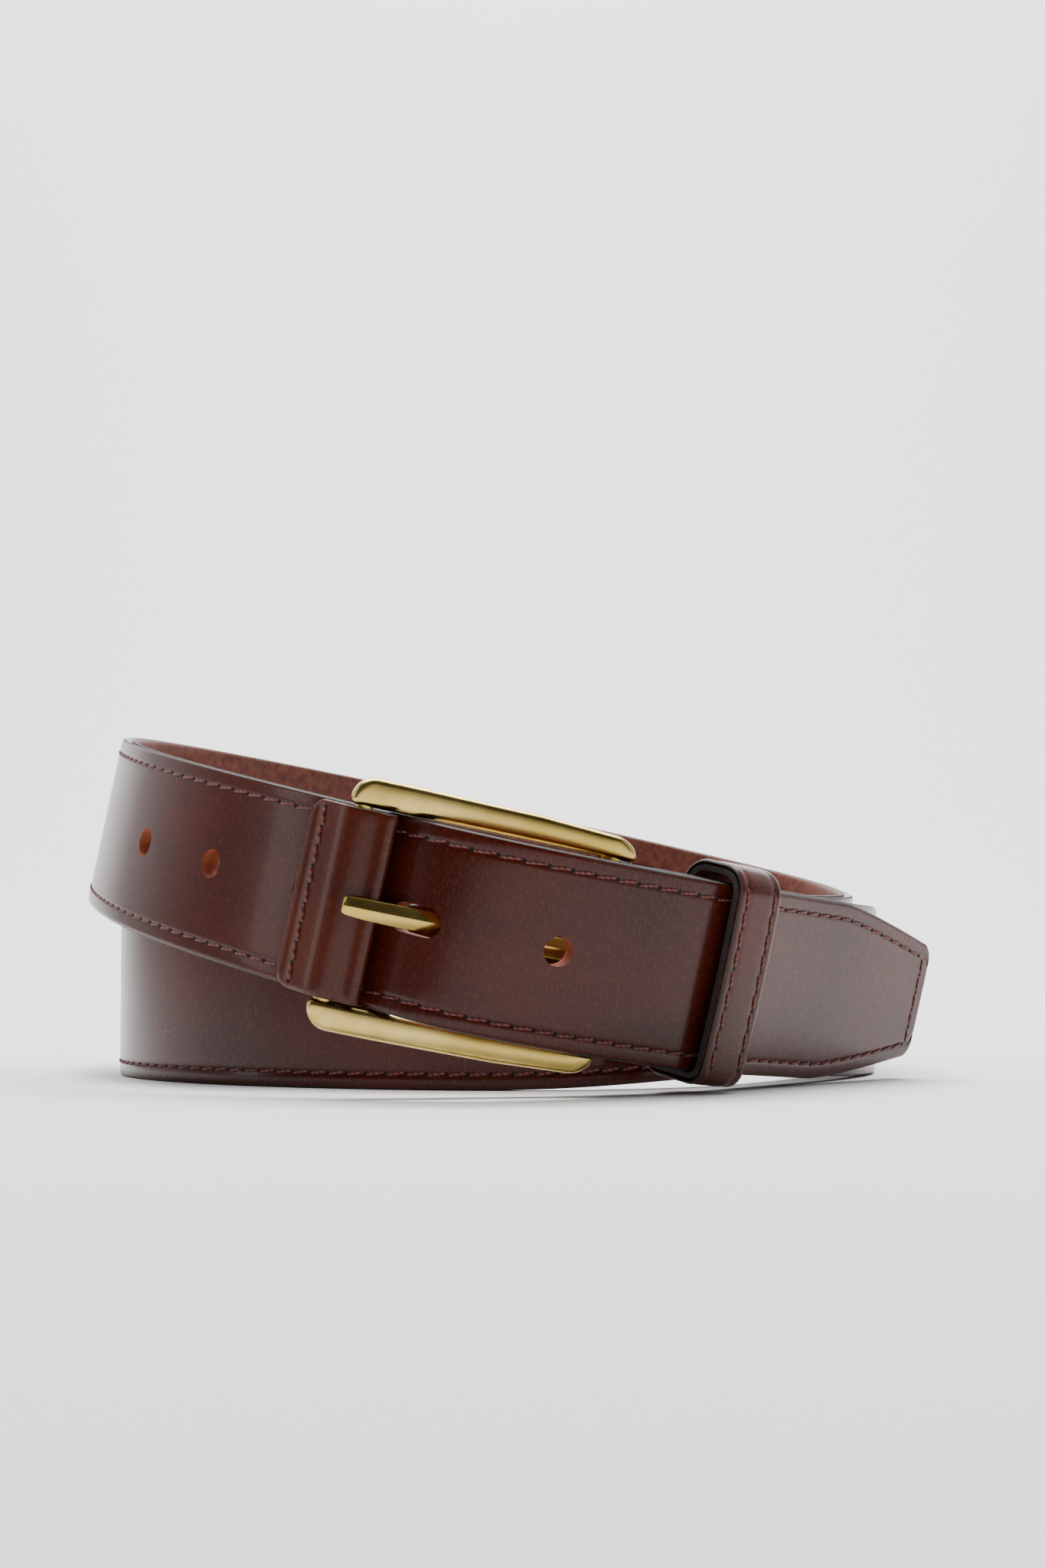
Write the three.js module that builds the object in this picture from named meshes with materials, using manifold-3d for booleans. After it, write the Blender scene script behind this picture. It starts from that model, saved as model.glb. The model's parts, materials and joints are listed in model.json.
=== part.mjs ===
// Leather belt, buckled and standing on its edge as a coil of two turns.
// Units are millimetres, +Z is up, the front of the coil (the buckle) faces -Y.
//
// A stitched belt has two layers: a polished face leather and a softer lining.
// One end of the face leather folds round the heel bar of the brass buckle.
// The other end, the tail, has five holes and a tapered tip. It passes behind
// the sleeved outer bar, comes up through the frame, is held by the prong and
// runs on under the loose keeper loop.
import * as THREE from 'three';
import { mergeVertices, toCreasedNormals } from 'three/addons/utils/BufferGeometryUtils.js';
import Module from 'manifold-3d';

const wasm = await Module();
wasm.setup();
const { Manifold, Mesh } = wasm;

// ---------------------------------------------------------------- dimensions
const STRAP_WIDTH = 35;          // common width of a dress belt
const FACE_THICKNESS = 2.0;      // polished face leather
const LINING_THICKNESS = 1.3;    // softer inner leather
const GLUE_LINE = 0.05;          // clearance on each side of the layer reference line
const EDGE_CHAMFER = 0.45;       // bevelled edge of the face leather
const STITCH_INSET = 3;          // stitch row from the strap edge
const THREAD_WIDTH = 0.9;
const THREAD_RISE = 0.35;
const HOLE_DIAMETER = 5.4;
const HOLE_PITCH = 25.4;
const LINING_RELIEF = 4.6;       // the soft lining is pulled open further behind it
const FASTENED_SLOT = 10.4;       // the hole in use is stretched to an oval by the prong
const TURN_BACK = 16.5;            // length of the end folded back behind the heel bar
const TURN_BACK_THICKNESS = 2.0;
const HEEL_BAR_RADIUS = 2;
const OUTER_BAR_RADIUS = 1.75;
const BAR_SPACING = 45.7;        // heel bar centre to outer bar centre
const FRAME_WINDOW = 35.8;       // clear width between the rails
const RAIL_WIDTH = 4.5;
const RAIL_DEPTH = 4.6;
const RAIL_END_HEEL = 4;         // rail past the heel bar centre
const RAIL_END_OUTER = 2.6;      // rail past the outer bar centre
const PRONG_WIDTH = 3.9;
const PRONG_THICKNESS = 2.2;
const SLEEVE_LEATHER = 1.25;
const SLEEVE_LENGTH = 34.6;      // along the outer bar
const SLEEVE_FOLD_SIDE = 7.2;    // bar centre to the folded edge
const SLEEVE_FLAP_SIDE = 10.2;   // bar centre to the stitched edge
const SLEEVE_TURN = 36;          // degrees, the sleeve lies along the tail
const KEEPER_WIDTH = 12;
const KEEPER_THICKNESS = 2.1;
const KEEPER_AT = 24.8;           // keeper centre from the heel bar along the strap
const TIP_TAPER = 38;            // length of the tapered point
const TIP_CUT = 5.5;             // how much the taper takes from each edge at the corner
const TIP_NOSE = 3.2;            // radius of the two corners at its blunt end

// The upper turn leans: its plane falls to the right and rises to the back.
const FALL_RIGHT = 0.218;
const RISE_BACK = 0.075;
const PLANE_HEIGHT = 10.65;        // lower edge of the strap above the floor at x = y = 0

const STEP = 9;                  // station spacing on the open coil
const FINE_STEP = 4.5;           // station spacing at the buckle and the tip
const BEND_LINE = 48;            // from the heel bar along the tail: where its free end bends away
const BEND_GAP = 0.3;            // clearance between the two bodies there

// Buckle place: heel bar centre in plan, and the direction to the outer bar.
const HEEL = [12.36, 8.26];
const FRAME_ANGLE = THREE.MathUtils.degToRad(7);

// ------------------------------------------------------------ shared frames
const leanDirection = new THREE.Vector3(FALL_RIGHT, -RISE_BACK, 1).normalize();
const up = new THREE.Vector3(0, 0, 1);

// Height of the strap's middle line above the floor for a share of the full lean.
function midHeight(x, y, share) {
  const lower = share * (PLANE_HEIGHT - FALL_RIGHT * x + RISE_BACK * y);
  const lean = up.clone().lerp(leanDirection, share).normalize();
  return lower + lean.z * STRAP_WIDTH / 2;
}

const heelCentre = new THREE.Vector3(HEEL[0], HEEL[1], midHeight(HEEL[0], HEEL[1], 1));
// Buckle axes: a towards the outer bar, b outward, c along the bars (up).
const axisC = leanDirection.clone();
const axisA = new THREE.Vector3(-Math.cos(FRAME_ANGLE), -Math.sin(FRAME_ANGLE), 0);
axisA.addScaledVector(axisC, -axisA.dot(axisC)).normalize();
const axisB = axisA.clone().cross(axisC).negate();

function buckle(a, b, c = 0) {
  return heelCentre.clone()
    .addScaledVector(axisA, a)
    .addScaledVector(axisB, b)
    .addScaledVector(axisC, c);
}

function plan(x, y, share) {
  return new THREE.Vector3(x, y, midHeight(x, y, share));
}

// ------------------------------------------------------------ the coil path
// Way points of the line between face leather and lining, at half width,
// from the heel bar round both turns to the tip: [point, share of the lean].
const lean = (x, y, share) => [plan(x, y, share), share];
const nearBuckle = (a, b) => [buckle(a, b), 1];
const wayPoints = [
  // out of the heel fold, under the tail
  lean(13.76, 6.56, 1), lean(20.9, 11.6, 1), lean(29.6, 17.7, 1),
  lean(43, 34.4, 1), lean(54.4, 50.8, 0.95),
  // lower turn: right outer bend, back, left bend
  lean(63.5, 68, 0.6), lean(71, 88, 0.25), lean(74, 108, 0),
  lean(74, 131, 0), lean(71, 153, 0), lean(64, 171.5, 0),
  lean(50.5, 188, 0), lean(32, 200, 0), lean(10, 206, 0),
  lean(-12, 206.5, 0), lean(-33, 202, 0), lean(-52, 192.5, 0),
  lean(-68, 178, 0), lean(-78, 158, 0), lean(-83.5, 137, 0),
  lean(-84.5, 115, 0), lean(-83, 95, 0), lean(-77, 77, 0),
  // inner pass along the front, then the right inner bend
  lean(-66, 61, 0), lean(-52, 48, 0), lean(-35, 38, 0),
  lean(-16, 31.5, 0), lean(4, 30.5, 0.02), lean(23, 36, 0.15),
  lean(39, 47.5, 0.4), lean(51, 63, 0.65), lean(60, 81, 0.85),
  lean(65, 100, 1),
  // upper turn: back and left bend
  lean(66.3, 117, 1), lean(66, 133.5, 1), lean(63.5, 151, 1),
  lean(56.5, 168, 1), lean(45, 182, 1), lean(29, 192, 1),
  lean(10.5, 197.5, 1), lean(-9, 198, 1), lean(-28, 194, 1),
  lean(-45.5, 186, 1), lean(-61, 175, 1), lean(-73.5, 161, 1),
  lean(-82.5, 145, 1), lean(-87.3, 128, 1), lean(-88, 109.4, 1),
  lean(-85.8, 89.6, 1), lean(-81, 70.3, 1), lean(-73.6, 52, 1),
  lean(-62.8, 35.7, 1), lean(-49.6, 21.9, 1),
  // tail: behind the outer bar, up through the frame, over the heel bar
  nearBuckle(45.7, -7.3), nearBuckle(40.2, -3), nearBuckle(36.2, 0.7),
  nearBuckle(33.4, 3.4), nearBuckle(30.4, 6), nearBuckle(27, 8.2),
  nearBuckle(23, 9.7), nearBuckle(17, 10.4), nearBuckle(9.5, 9.5),
  nearBuckle(0, 6.8),
  // tail end, nearly straight
  lean(34, 16, 1), lean(46.2, 31.8, 1), lean(57.8, 48.2, 1),
  lean(69.4, 64.5, 1), lean(80.2, 79.7, 1),
];

// Natural cubic spline through the way points: smooth in slope and in bend.
function naturalSpline(knots, values) {
  const n = knots.length;
  const second = new Array(n).fill(0);
  const work = new Array(n).fill(0);
  for (let i = 1; i < n - 1; i++) {
    const before = knots[i] - knots[i - 1];
    const after = knots[i + 1] - knots[i];
    const ratio = before / (before + after);
    const p = ratio * second[i - 1] + 2;
    second[i] = (ratio - 1) / p;
    const slopes = (values[i + 1] - values[i]) / after - (values[i] - values[i - 1]) / before;
    work[i] = (6 * slopes / (before + after) - ratio * work[i - 1]) / p;
  }
  for (let i = n - 2; i >= 0; i--) second[i] = second[i] * second[i + 1] + work[i];
  return (t) => {
    let k = 0;
    while (k < n - 2 && t > knots[k + 1]) k++;
    const h = knots[k + 1] - knots[k];
    const a = (knots[k + 1] - t) / h;
    const b = (t - knots[k]) / h;
    const bend = (a ** 3 - a) * second[k] + (b ** 3 - b) * second[k + 1];
    return a * values[k] + b * values[k + 1] + bend * h * h / 6;
  };
}

const knots = [0];
for (let i = 1; i < wayPoints.length; i++) {
  knots.push(knots[i - 1] + wayPoints[i][0].distanceTo(wayPoints[i - 1][0]));
}
const spline = ['x', 'y', 'z'].map((k) => naturalSpline(knots, wayPoints.map((p) => p[0][k])));
const leanSpline = naturalSpline(knots, wayPoints.map((p) => p[1]));

// Arc length table, so that every length on the strap is a real length.
const SAMPLES = 6000;
const table = [];
{
  let previous = null;
  let length = 0;
  for (let i = 0; i <= SAMPLES; i++) {
    const t = knots[knots.length - 1] * i / SAMPLES;
    const point = new THREE.Vector3(spline[0](t), spline[1](t), spline[2](t));
    if (previous) length += point.distanceTo(previous);
    table.push({ t, length, point });
    previous = point;
  }
}
const STRAP_LENGTH = table[SAMPLES].length;

function parameterAt(length) {
  let low = 0;
  let high = SAMPLES;
  while (high - low > 1) {
    const middle = (low + high) >> 1;
    if (table[middle].length <= length) low = middle;
    else high = middle;
  }
  const part = (length - table[low].length) / (table[high].length - table[low].length);
  return table[low].t + part * (table[high].t - table[low].t);
}

// Station: point on the reference line with travel, width and outward directions.
function station(length) {
  const t = parameterAt(length);
  const at = (k) => new THREE.Vector3(spline[0](k), spline[1](k), spline[2](k));
  const point = at(t);
  const travel = at(t + 0.05).sub(at(t - 0.05)).normalize();
  const share = THREE.MathUtils.clamp(leanSpline(t), 0, 1);
  const across = up.clone().lerp(leanDirection, share).normalize();
  across.addScaledVector(travel, -across.dot(travel)).normalize();
  const outward = travel.clone().cross(across).normalize();
  return { length, point, travel, across, outward };
}

// Length on the strap of the point nearest to a given place, searched in a range.
function lengthNear(place, from, to) {
  let best = from;
  let distance = Infinity;
  for (const row of table) {
    if (row.length < from || row.length > to) continue;
    const d = row.point.distanceTo(place);
    if (d < distance) {
      distance = d;
      best = row.length;
    }
  }
  return best;
}

const tailStart = STRAP_LENGTH - 260;
const heelPassing = lengthNear(buckle(0, 6.8), tailStart, STRAP_LENGTH);
const slotCentre = lengthNear(buckle(31.8, 4.6), tailStart, STRAP_LENGTH);
const TIP_START = STRAP_LENGTH - TIP_TAPER;

// ------------------------------------------------------------------ meshes
// Closed prism through a list of cross sections, each an anticlockwise ring
// seen against the direction of travel.
function sweep(rings) {
  const count = rings[0].length;
  const positions = [];
  const index = [];
  for (const ring of rings) for (const p of ring) positions.push(p.x, p.y, p.z);
  for (let i = 0; i < rings.length - 1; i++) {
    for (let j = 0; j < count; j++) {
      const a = i * count + j;
      const b = i * count + (j + 1) % count;
      index.push(a, b, b + count, a, b + count, a + count);
    }
  }
  const last = (rings.length - 1) * count;
  for (let j = 1; j < count - 1; j++) {
    index.push(0, j + 1, j);
    index.push(last, last + j, last + j + 1);
  }
  const geometry = new THREE.BufferGeometry();
  geometry.setAttribute('position', new THREE.Float32BufferAttribute(positions, 3));
  geometry.setIndex(index);
  return outwardFacing(geometry);
}

function signedVolume(geometry) {
  const p = geometry.attributes.position;
  const index = geometry.index;
  const a = new THREE.Vector3();
  const b = new THREE.Vector3();
  const c = new THREE.Vector3();
  let sum = 0;
  for (let i = 0; i < index.count; i += 3) {
    a.fromBufferAttribute(p, index.getX(i));
    b.fromBufferAttribute(p, index.getX(i + 1));
    c.fromBufferAttribute(p, index.getX(i + 2));
    sum += a.dot(b.cross(c));
  }
  return sum / 6;
}

function outwardFacing(geometry) {
  if (signedVolume(geometry) >= 0) return geometry;
  const list = Array.from(geometry.index.array);
  for (let i = 0; i < list.length; i += 3) {
    [list[i + 1], list[i + 2]] = [list[i + 2], list[i + 1]];
  }
  geometry.setIndex(list);
  return geometry;
}

function stationPoint(s, out, width) {
  return s.point.clone().addScaledVector(s.outward, out).addScaledVector(s.across, width);
}

// Half width of the strap at a length: full, then the taper and its rounded corners.
function halfWidth(length) {
  const full = STRAP_WIDTH / 2;
  if (length <= TIP_START) return full;
  const corner = STRAP_LENGTH - TIP_NOSE;
  if (length <= corner) {
    const part = (length - TIP_START) / (corner - TIP_START);
    return full - TIP_CUT * part ** 1.25;
  }
  const part = (length - corner) / TIP_NOSE;
  return full - TIP_CUT - TIP_NOSE * (1 - Math.sqrt(Math.max(0, 1 - part ** 2)));
}

// Stations shared by every layer of the strap between two lengths.
function stationsBetween(from, to) {
  const lengths = [from];
  let l = from;
  while (l < to - 0.01) {
    const byBuckle = l < 48 || l > heelPassing - 75;
    const inTaper = l > STRAP_LENGTH - TIP_NOSE - 0.01;
    l += inTaper ? 0.4 : byBuckle ? FINE_STEP : STEP;
    lengths.push(Math.min(l, to));
  }
  if (lengths[lengths.length - 1] - lengths[lengths.length - 2] < 0.3) {
    lengths.splice(lengths.length - 2, 1);
  }
  return lengths;
}

const corner = STRAP_LENGTH - TIP_NOSE;
const bendAt = heelPassing + BEND_LINE;
// the long strap, then the free end of the tail past the keeper
const strapLengths = stationsBetween(0, bendAt - BEND_GAP / 2);
const endLengths = [
  ...stationsBetween(bendAt + BEND_GAP / 2, corner),
  ...stationsBetween(corner, STRAP_LENGTH).slice(1),
];

function faceRing(s, half) {
  const low = GLUE_LINE;
  const high = GLUE_LINE + FACE_THICKNESS;
  const e = EDGE_CHAMFER;
  return [
    stationPoint(s, low, -half), stationPoint(s, high - e, -half),
    stationPoint(s, high, -half + e), stationPoint(s, high, half - e),
    stationPoint(s, high - e, half), stationPoint(s, low, half),
  ];
}

function plainRing(s, low, high, from, to) {
  return [
    stationPoint(s, low, to), stationPoint(s, high, to),
    stationPoint(s, high, from), stationPoint(s, low, from),
  ];
}

// --- heel fold: the face leather turns round the bar and lies behind itself
function foldStations() {
  const list = [];
  const start = station(0);
  const barToStart = start.point.clone().sub(heelCentre);
  barToStart.addScaledVector(axisC, -barToStart.dot(axisC));
  const radius = barToStart.length();
  const backSteps = [TURN_BACK, 12, 8.5, 6, 4, 2.2];
  for (const l of backSteps) {
    const s = station(l);
    const closing = THREE.MathUtils.smoothstep(l, 0, 15);
    const offset = -THREE.MathUtils.lerp(2 * radius, LINING_THICKNESS + 0.4, closing);
    list.push({
      length: -l, point: stationPoint(s, offset, 0), travel: s.travel.clone().negate(),
      across: s.across.clone(), outward: s.outward.clone().negate(),
    });
  }
  const first = start.outward.clone();
  const turns = 9;
  for (let i = turns; i >= 1; i--) {
    const angle = Math.PI * i / turns;
    const outward = first.clone().applyAxisAngle(start.across, angle);
    list.push({
      length: -angle * radius, point: heelCentre.clone()
        .addScaledVector(axisC, start.point.clone().sub(heelCentre).dot(axisC))
        .addScaledVector(outward, radius),
      travel: start.across.clone().cross(outward), across: start.across.clone(), outward,
    });
  }
  return list;
}

const strapStations = strapLengths.map(station);
const endStations = endLengths.map(station);
const faceRings = [...foldStations(), ...strapStations].map((s) => faceRing(s, STRAP_WIDTH / 2));
const endFaceRings = endStations.map((s) => faceRing(s, halfWidth(s.length)));

// ------------------------------------------------------------- solid tools
function toManifold(geometry) {
  const merged = mergeVertices(geometry.clone().deleteAttribute('normal'), 1e-4);
  const mesh = new Mesh({
    numProp: 3,
    vertProperties: new Float32Array(merged.attributes.position.array),
    triVerts: new Uint32Array(merged.index.array),
  });
  return new Manifold(mesh);
}

function fromManifold(solid) {
  const mesh = solid.getMesh();
  const geometry = new THREE.BufferGeometry();
  geometry.setAttribute('position', new THREE.Float32BufferAttribute(mesh.vertProperties, 3));
  geometry.setIndex(Array.from(mesh.triVerts));
  return geometry;
}

function basis(origin, x, y, z) {
  return new THREE.Matrix4().makeBasis(x, y, z).setPosition(origin);
}

// Straight through-hole along the outward direction of the strap at a length.
function holeTool(length, slotLength) {
  const s = station(length);
  const r = HOLE_DIAMETER / 2;
  const shape = new THREE.Shape();
  const reach = slotLength / 2 - r;
  shape.absarc(reach, 0, r, -Math.PI / 2, Math.PI / 2, false);
  shape.absarc(-reach, 0, r, Math.PI / 2, 3 * Math.PI / 2, false);
  const geometry = new THREE.ExtrudeGeometry(shape, { depth: 12, bevelEnabled: false, curveSegments: 6 });
  geometry.translate(0, 0, -6);
  const z = s.outward.clone();
  const x = s.travel.clone();
  geometry.applyMatrix4(basis(s.point, x, z.clone().cross(x), z));
  return outwardFacing(mergeVertices(geometry.deleteAttribute('normal').deleteAttribute('uv'), 1e-4));
}

const holePlaces = [-3, -2, -1, 0, 1].map((k) => slotCentre + k * HOLE_PITCH);
const holeTools = holePlaces.map((l, i) => {
  const long = i === 3 ? FASTENED_SLOT : HOLE_DIAMETER + 0.01;
  return toManifold(holeTool(l, long));
});

// Slot in the heel fold that lets the prong swing on its bar.
function boxAt(a0, a1, b0, b1, c0, c1) {
  const geometry = new THREE.BoxGeometry(a1 - a0, b1 - b0, c1 - c0);
  geometry.translate((a0 + a1) / 2, (b0 + b1) / 2, (c0 + c1) / 2);
  geometry.applyMatrix4(basis(heelCentre, axisA, axisB, axisC));
  return outwardFacing(mergeVertices(geometry.deleteAttribute('normal').deleteAttribute('uv'), 1e-4));
}
const prongSlot = toManifold(boxAt(-7.5, 8, -7, 4.5, -PRONG_WIDTH / 2 - 0.8, PRONG_WIDTH / 2 + 0.8));

// -------------------------------------------------------------- materials
function finish(colour, roughness, metalness = 0) {
  return new THREE.MeshStandardMaterial({ color: colour, roughness, metalness });
}
const faceLeather = finish(0x3f1a14, 0.3);
const liningLeather = finish(0x6b3a28, 0.6);
const threadFibre = finish(0x7a4038, 0.7);
const brass = finish(0xa08a4e, 0.35, 1);

const group = new THREE.Group();
group.name = 'leather_belt';

function add(name, geometry, material) {
  const clean = toCreasedNormals(outwardFacing(mergeVertices(geometry, 1e-4)), Math.PI / 6);
  const mesh = new THREE.Mesh(clean, material);
  mesh.name = name;
  group.add(mesh);
  return mesh;
}

// ------------------------------------------------------------- strap layers
let face = toManifold(sweep(faceRings)).subtract(prongSlot);
for (const tool of holeTools) face = face.subtract(tool);
add('strap_face', fromManifold(face), faceLeather);

add('tail_end_face', sweep(endFaceRings), faceLeather);

const LINING_START = 8;          // the lining stops short of the heel fold
function liningRing(s) {
  const half = halfWidth(s.length);
  return plainRing(s, -GLUE_LINE - LINING_THICKNESS, -GLUE_LINE, -half, half);
}
const liningStations = strapStations.filter((s) => s.length > LINING_START);
let lining = toManifold(sweep(liningStations.map(liningRing)));
for (const tool of holeTools) lining = lining.subtract(tool);
const reliefTool = holeTool(slotCentre + LINING_RELIEF / 2, FASTENED_SLOT + LINING_RELIEF);
lining = lining.subtract(toManifold(reliefTool));
add('strap_lining', fromManifold(lining), liningLeather);
add('tail_end_lining', sweep(endStations.map(liningRing)), liningLeather);

// ------------------------------------------------------------ edge stitches
// Each row is one run of thread lying on the face, a little above it.
const THREAD_LOW = GLUE_LINE + FACE_THICKNESS + 0.1;
const ROW_START = 4;
function stitchRow(stations, side) {
  return sweep(stations.map((s) => {
    const middle = side * (halfWidth(s.length) - STITCH_INSET);
    const w = THREAD_WIDTH / 2;
    return plainRing(s, THREAD_LOW, THREAD_LOW + THREAD_RISE, middle - w, middle + w);
  }));
}
for (const [edge, side] of [['upper', 1], ['lower', -1]]) {
  const onStrap = strapStations.filter((s) => s.length > ROW_START);
  const onTailEnd = endStations.filter((s) => s.length < corner + 0.01);
  add(`edge_stitching_${edge}`, stitchRow(onStrap, side), threadFibre);
  add(`tail_end_stitching_${edge}`, stitchRow(onTailEnd, side), threadFibre);
}
// Short row across the tip that joins them.
{
  const s = station(corner + 0.65);
  const reach = halfWidth(corner) - STITCH_INSET - THREAD_WIDTH;
  const w = THREAD_WIDTH / 2;
  const low = THREAD_LOW;
  const outline = [[-w, low], [w, low], [w, low + THREAD_RISE], [-w, low + THREAD_RISE]];
  const ring = (width) => outline.map(([x, o]) => (
    stationPoint(s, o, width).addScaledVector(s.travel, x)));
  add('tail_end_stitching_tip', sweep([ring(-reach), ring(reach)]), threadFibre);
}
// Two rows behind the heel bar that hold the turned-back end down.
for (const [name, at] of [['turn_back_stitching_near', 9], ['turn_back_stitching_far', 13.4]]) {
  const s = station(at);
  const closing = THREE.MathUtils.smoothstep(at, 0, 15);
  const gap = THREE.MathUtils.lerp(4.4, LINING_THICKNESS + 0.4, closing);
  const flat = -gap - GLUE_LINE - TURN_BACK_THICKNESS - 0.2;
  const w = THREAD_WIDTH / 2;
  const outline = [[-w, flat], [w, flat], [w, flat - THREAD_RISE], [-w, flat - THREAD_RISE]];
  const ring = (width) => outline.map(([x, o]) => (
    stationPoint(s, o, width).addScaledVector(s.travel, x)));
  add(name, sweep([ring(-14), ring(14)]), threadFibre);
}

// ------------------------------------------------------------ buckle frame
function roundedRectangle(path, x0, y0, x1, y1, r) {
  path.moveTo(x0 + r, y0);
  path.lineTo(x1 - r, y0);
  path.absarc(x1 - r, y0 + r, r, -Math.PI / 2, 0, false);
  path.lineTo(x1, y1 - r);
  path.absarc(x1 - r, y1 - r, r, 0, Math.PI / 2, false);
  path.lineTo(x0 + r, y1);
  path.absarc(x0 + r, y1 - r, r, Math.PI / 2, Math.PI, false);
  path.lineTo(x0, y0 + r);
  path.absarc(x0 + r, y0 + r, r, Math.PI, 3 * Math.PI / 2, false);
}

function placeInBuckle(geometry, zAxis, origin = heelCentre) {
  // local x -> a, local y -> c, local z -> outward b (or its opposite to stay right-handed)
  const z = axisA.clone().cross(axisC);
  const sign = z.dot(axisB);
  const flip = new THREE.Matrix4().makeScale(1, 1, sign);
  geometry.applyMatrix4(flip);
  geometry.applyMatrix4(basis(origin, axisA, axisC, z));
  return geometry;
}

function plainGeometry(geometry) {
  return outwardFacing(mergeVertices(geometry.deleteAttribute('normal').deleteAttribute('uv'), 1e-4));
}

function barCylinder(radius, a, b, length) {
  const geometry = new THREE.CylinderGeometry(radius, radius, length, 20, 1);
  // cylinder axis is local y, which becomes the bar direction c
  geometry.applyMatrix4(basis(buckle(a, b), axisA, axisC, axisA.clone().cross(axisC)));
  return plainGeometry(geometry);
}

const frameHalf = FRAME_WINDOW / 2 + RAIL_WIDTH;
const ringShape = new THREE.Shape();
roundedRectangle(ringShape, -RAIL_END_HEEL, -frameHalf, BAR_SPACING + RAIL_END_OUTER, frameHalf, 5.5);
// The rails alone: the ring outline less a window that runs out at both ends.
let rails = toManifold(plainGeometry(placeInBuckle((() => {
  const bevel = 1.1;
  const g = new THREE.ExtrudeGeometry(ringShape, {
    depth: RAIL_DEPTH - 2 * bevel, bevelEnabled: true, bevelThickness: bevel, bevelSize: bevel,
    bevelOffset: -bevel, bevelSegments: 3, curveSegments: 6,
  });
  g.translate(0, 0, -RAIL_DEPTH / 2 + bevel);
  return g;
})())));
const windowTool = toManifold(boxAt(
  -RAIL_END_HEEL - 3, BAR_SPACING + RAIL_END_OUTER + 3, -6, 6, -FRAME_WINDOW / 2, FRAME_WINDOW / 2));
rails = rails.subtract(windowTool);
const heelBar = toManifold(barCylinder(HEEL_BAR_RADIUS, 0, 0, FRAME_WINDOW + 3));
const outerBar = toManifold(barCylinder(OUTER_BAR_RADIUS, BAR_SPACING, 0, FRAME_WINDOW + 3));
const frame = rails.add(heelBar).add(outerBar);
add('buckle_frame', fromManifold(frame), brass);

// ------------------------------------------------------------------- prong
// Rises from its curl on the heel bar, passes up through the strap and comes
// down to rest on the sleeved bar: [a, b of the underside, thickness, width].
const prongLine = [
  [3, 2.35, 2.1, 3.9], [7, 2.8, 2.1, 3.9], [12, 3.2, 2, 3.9], [18, 3.6, 2, 3.9],
  [25, 4.2, 2, 3.9], [30, 4.8, 2, 3.9], [34.5, 5.4, 2, 3.9], [38.5, 5.75, 2, 3.9],
  [42, 5.5, 1.9, 3.8], [44.7, 4.9, 1.5, 3.4], [46, 4.45, 0.9, 2.8],
];
const prongRings = prongLine.map(([a, b, thickness, width]) => {
  const w = width / 2;
  const shoulder = thickness * 0.55;
  return [
    buckle(a, b, -w), buckle(a, b + shoulder, -w), buckle(a, b + thickness, 0),
    buckle(a, b + shoulder, w), buckle(a, b, w),
  ];
});
const PRONG_EYE = 2.15;
function curl() {
  const outer = 4.35;
  const shape = new THREE.Shape();
  shape.absarc(0, 0, outer, 0, 2 * Math.PI, false);
  const eye = new THREE.Path();
  eye.absarc(0, 0, PRONG_EYE + 0.1, 0, 2 * Math.PI, true);
  shape.holes.push(eye);
  const g = new THREE.ExtrudeGeometry(shape, { depth: PRONG_WIDTH, bevelEnabled: false, curveSegments: 12 });
  g.translate(0, 0, -PRONG_WIDTH / 2);
  // local x -> a, local y -> b, local z -> along the bar
  const z = axisA.clone().cross(axisB);
  g.applyMatrix4(basis(heelCentre, axisA, axisB, z));
  return plainGeometry(g);
}
const prong = toManifold(curl()).add(toManifold(sweep(prongRings)));
add('prong', fromManifold(prong), brass);

// ------------------------------------------------------- sleeve on outer bar
// A folded piece of leather round the bar, its two layers stitched together
// on the far side. Outline in the plane across the bar, x away from the fold.
const sleeveTurn = THREE.MathUtils.degToRad(SLEEVE_TURN);
function sleevePoint(x, y, c) {
  const a = BAR_SPACING + x * Math.cos(sleeveTurn) + y * Math.sin(sleeveTurn);
  const b = -x * Math.sin(sleeveTurn) + y * Math.cos(sleeveTurn);
  return buckle(a, b, c);
}
const pocket = OUTER_BAR_RADIUS + 0.25;
const skin = SLEEVE_LEATHER;
function bulge(x, flat) {
  // height of the inner surface of one layer above the sleeve's middle plane
  const span = 4.6;
  if (Math.abs(x) >= span) return flat;
  return flat + (pocket - flat) * Math.cos(Math.PI * x / (2 * span)) ** 2;
}
const sleeveXs = [
  -SLEEVE_FOLD_SIDE + 1.25, -5.4, -4.4, -3.4, -2.4, -1.4, -0.5,
  0.5, 1.4, 2.4, 3.4, 4.4, 5.6, SLEEVE_FLAP_SIDE,
];
const innerGap = 0.12;
function pocketTop(x) {
  const overBar = Math.abs(x) < pocket ? Math.sqrt(pocket ** 2 - x * x) : 0;
  return Math.max(bulge(x, innerGap), overBar);
}
function sleeveOutline() {
  const top = sleeveXs.map((x) => [x, pocketTop(x) + skin]);
  const bottom = sleeveXs.map((x) => [x, -pocketTop(x) - skin]).reverse();
  const fold = [];
  for (let i = 1; i < 6; i++) {
    const angle = -Math.PI / 2 - Math.PI * i / 6;
    const r = skin + innerGap;
    fold.push([sleeveXs[0] + r * Math.cos(angle), r * Math.sin(angle)]);
  }
  return [...top, ...bottom, ...fold];
}
function sleevePocket() {
  const xs = sleeveXs.filter((x) => x < 6);
  const top = xs.map((x) => [x, pocketTop(x)]);
  const bottom = xs.map((x) => [x, -pocketTop(x)]).reverse();
  return [...top, ...bottom];
}
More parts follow.
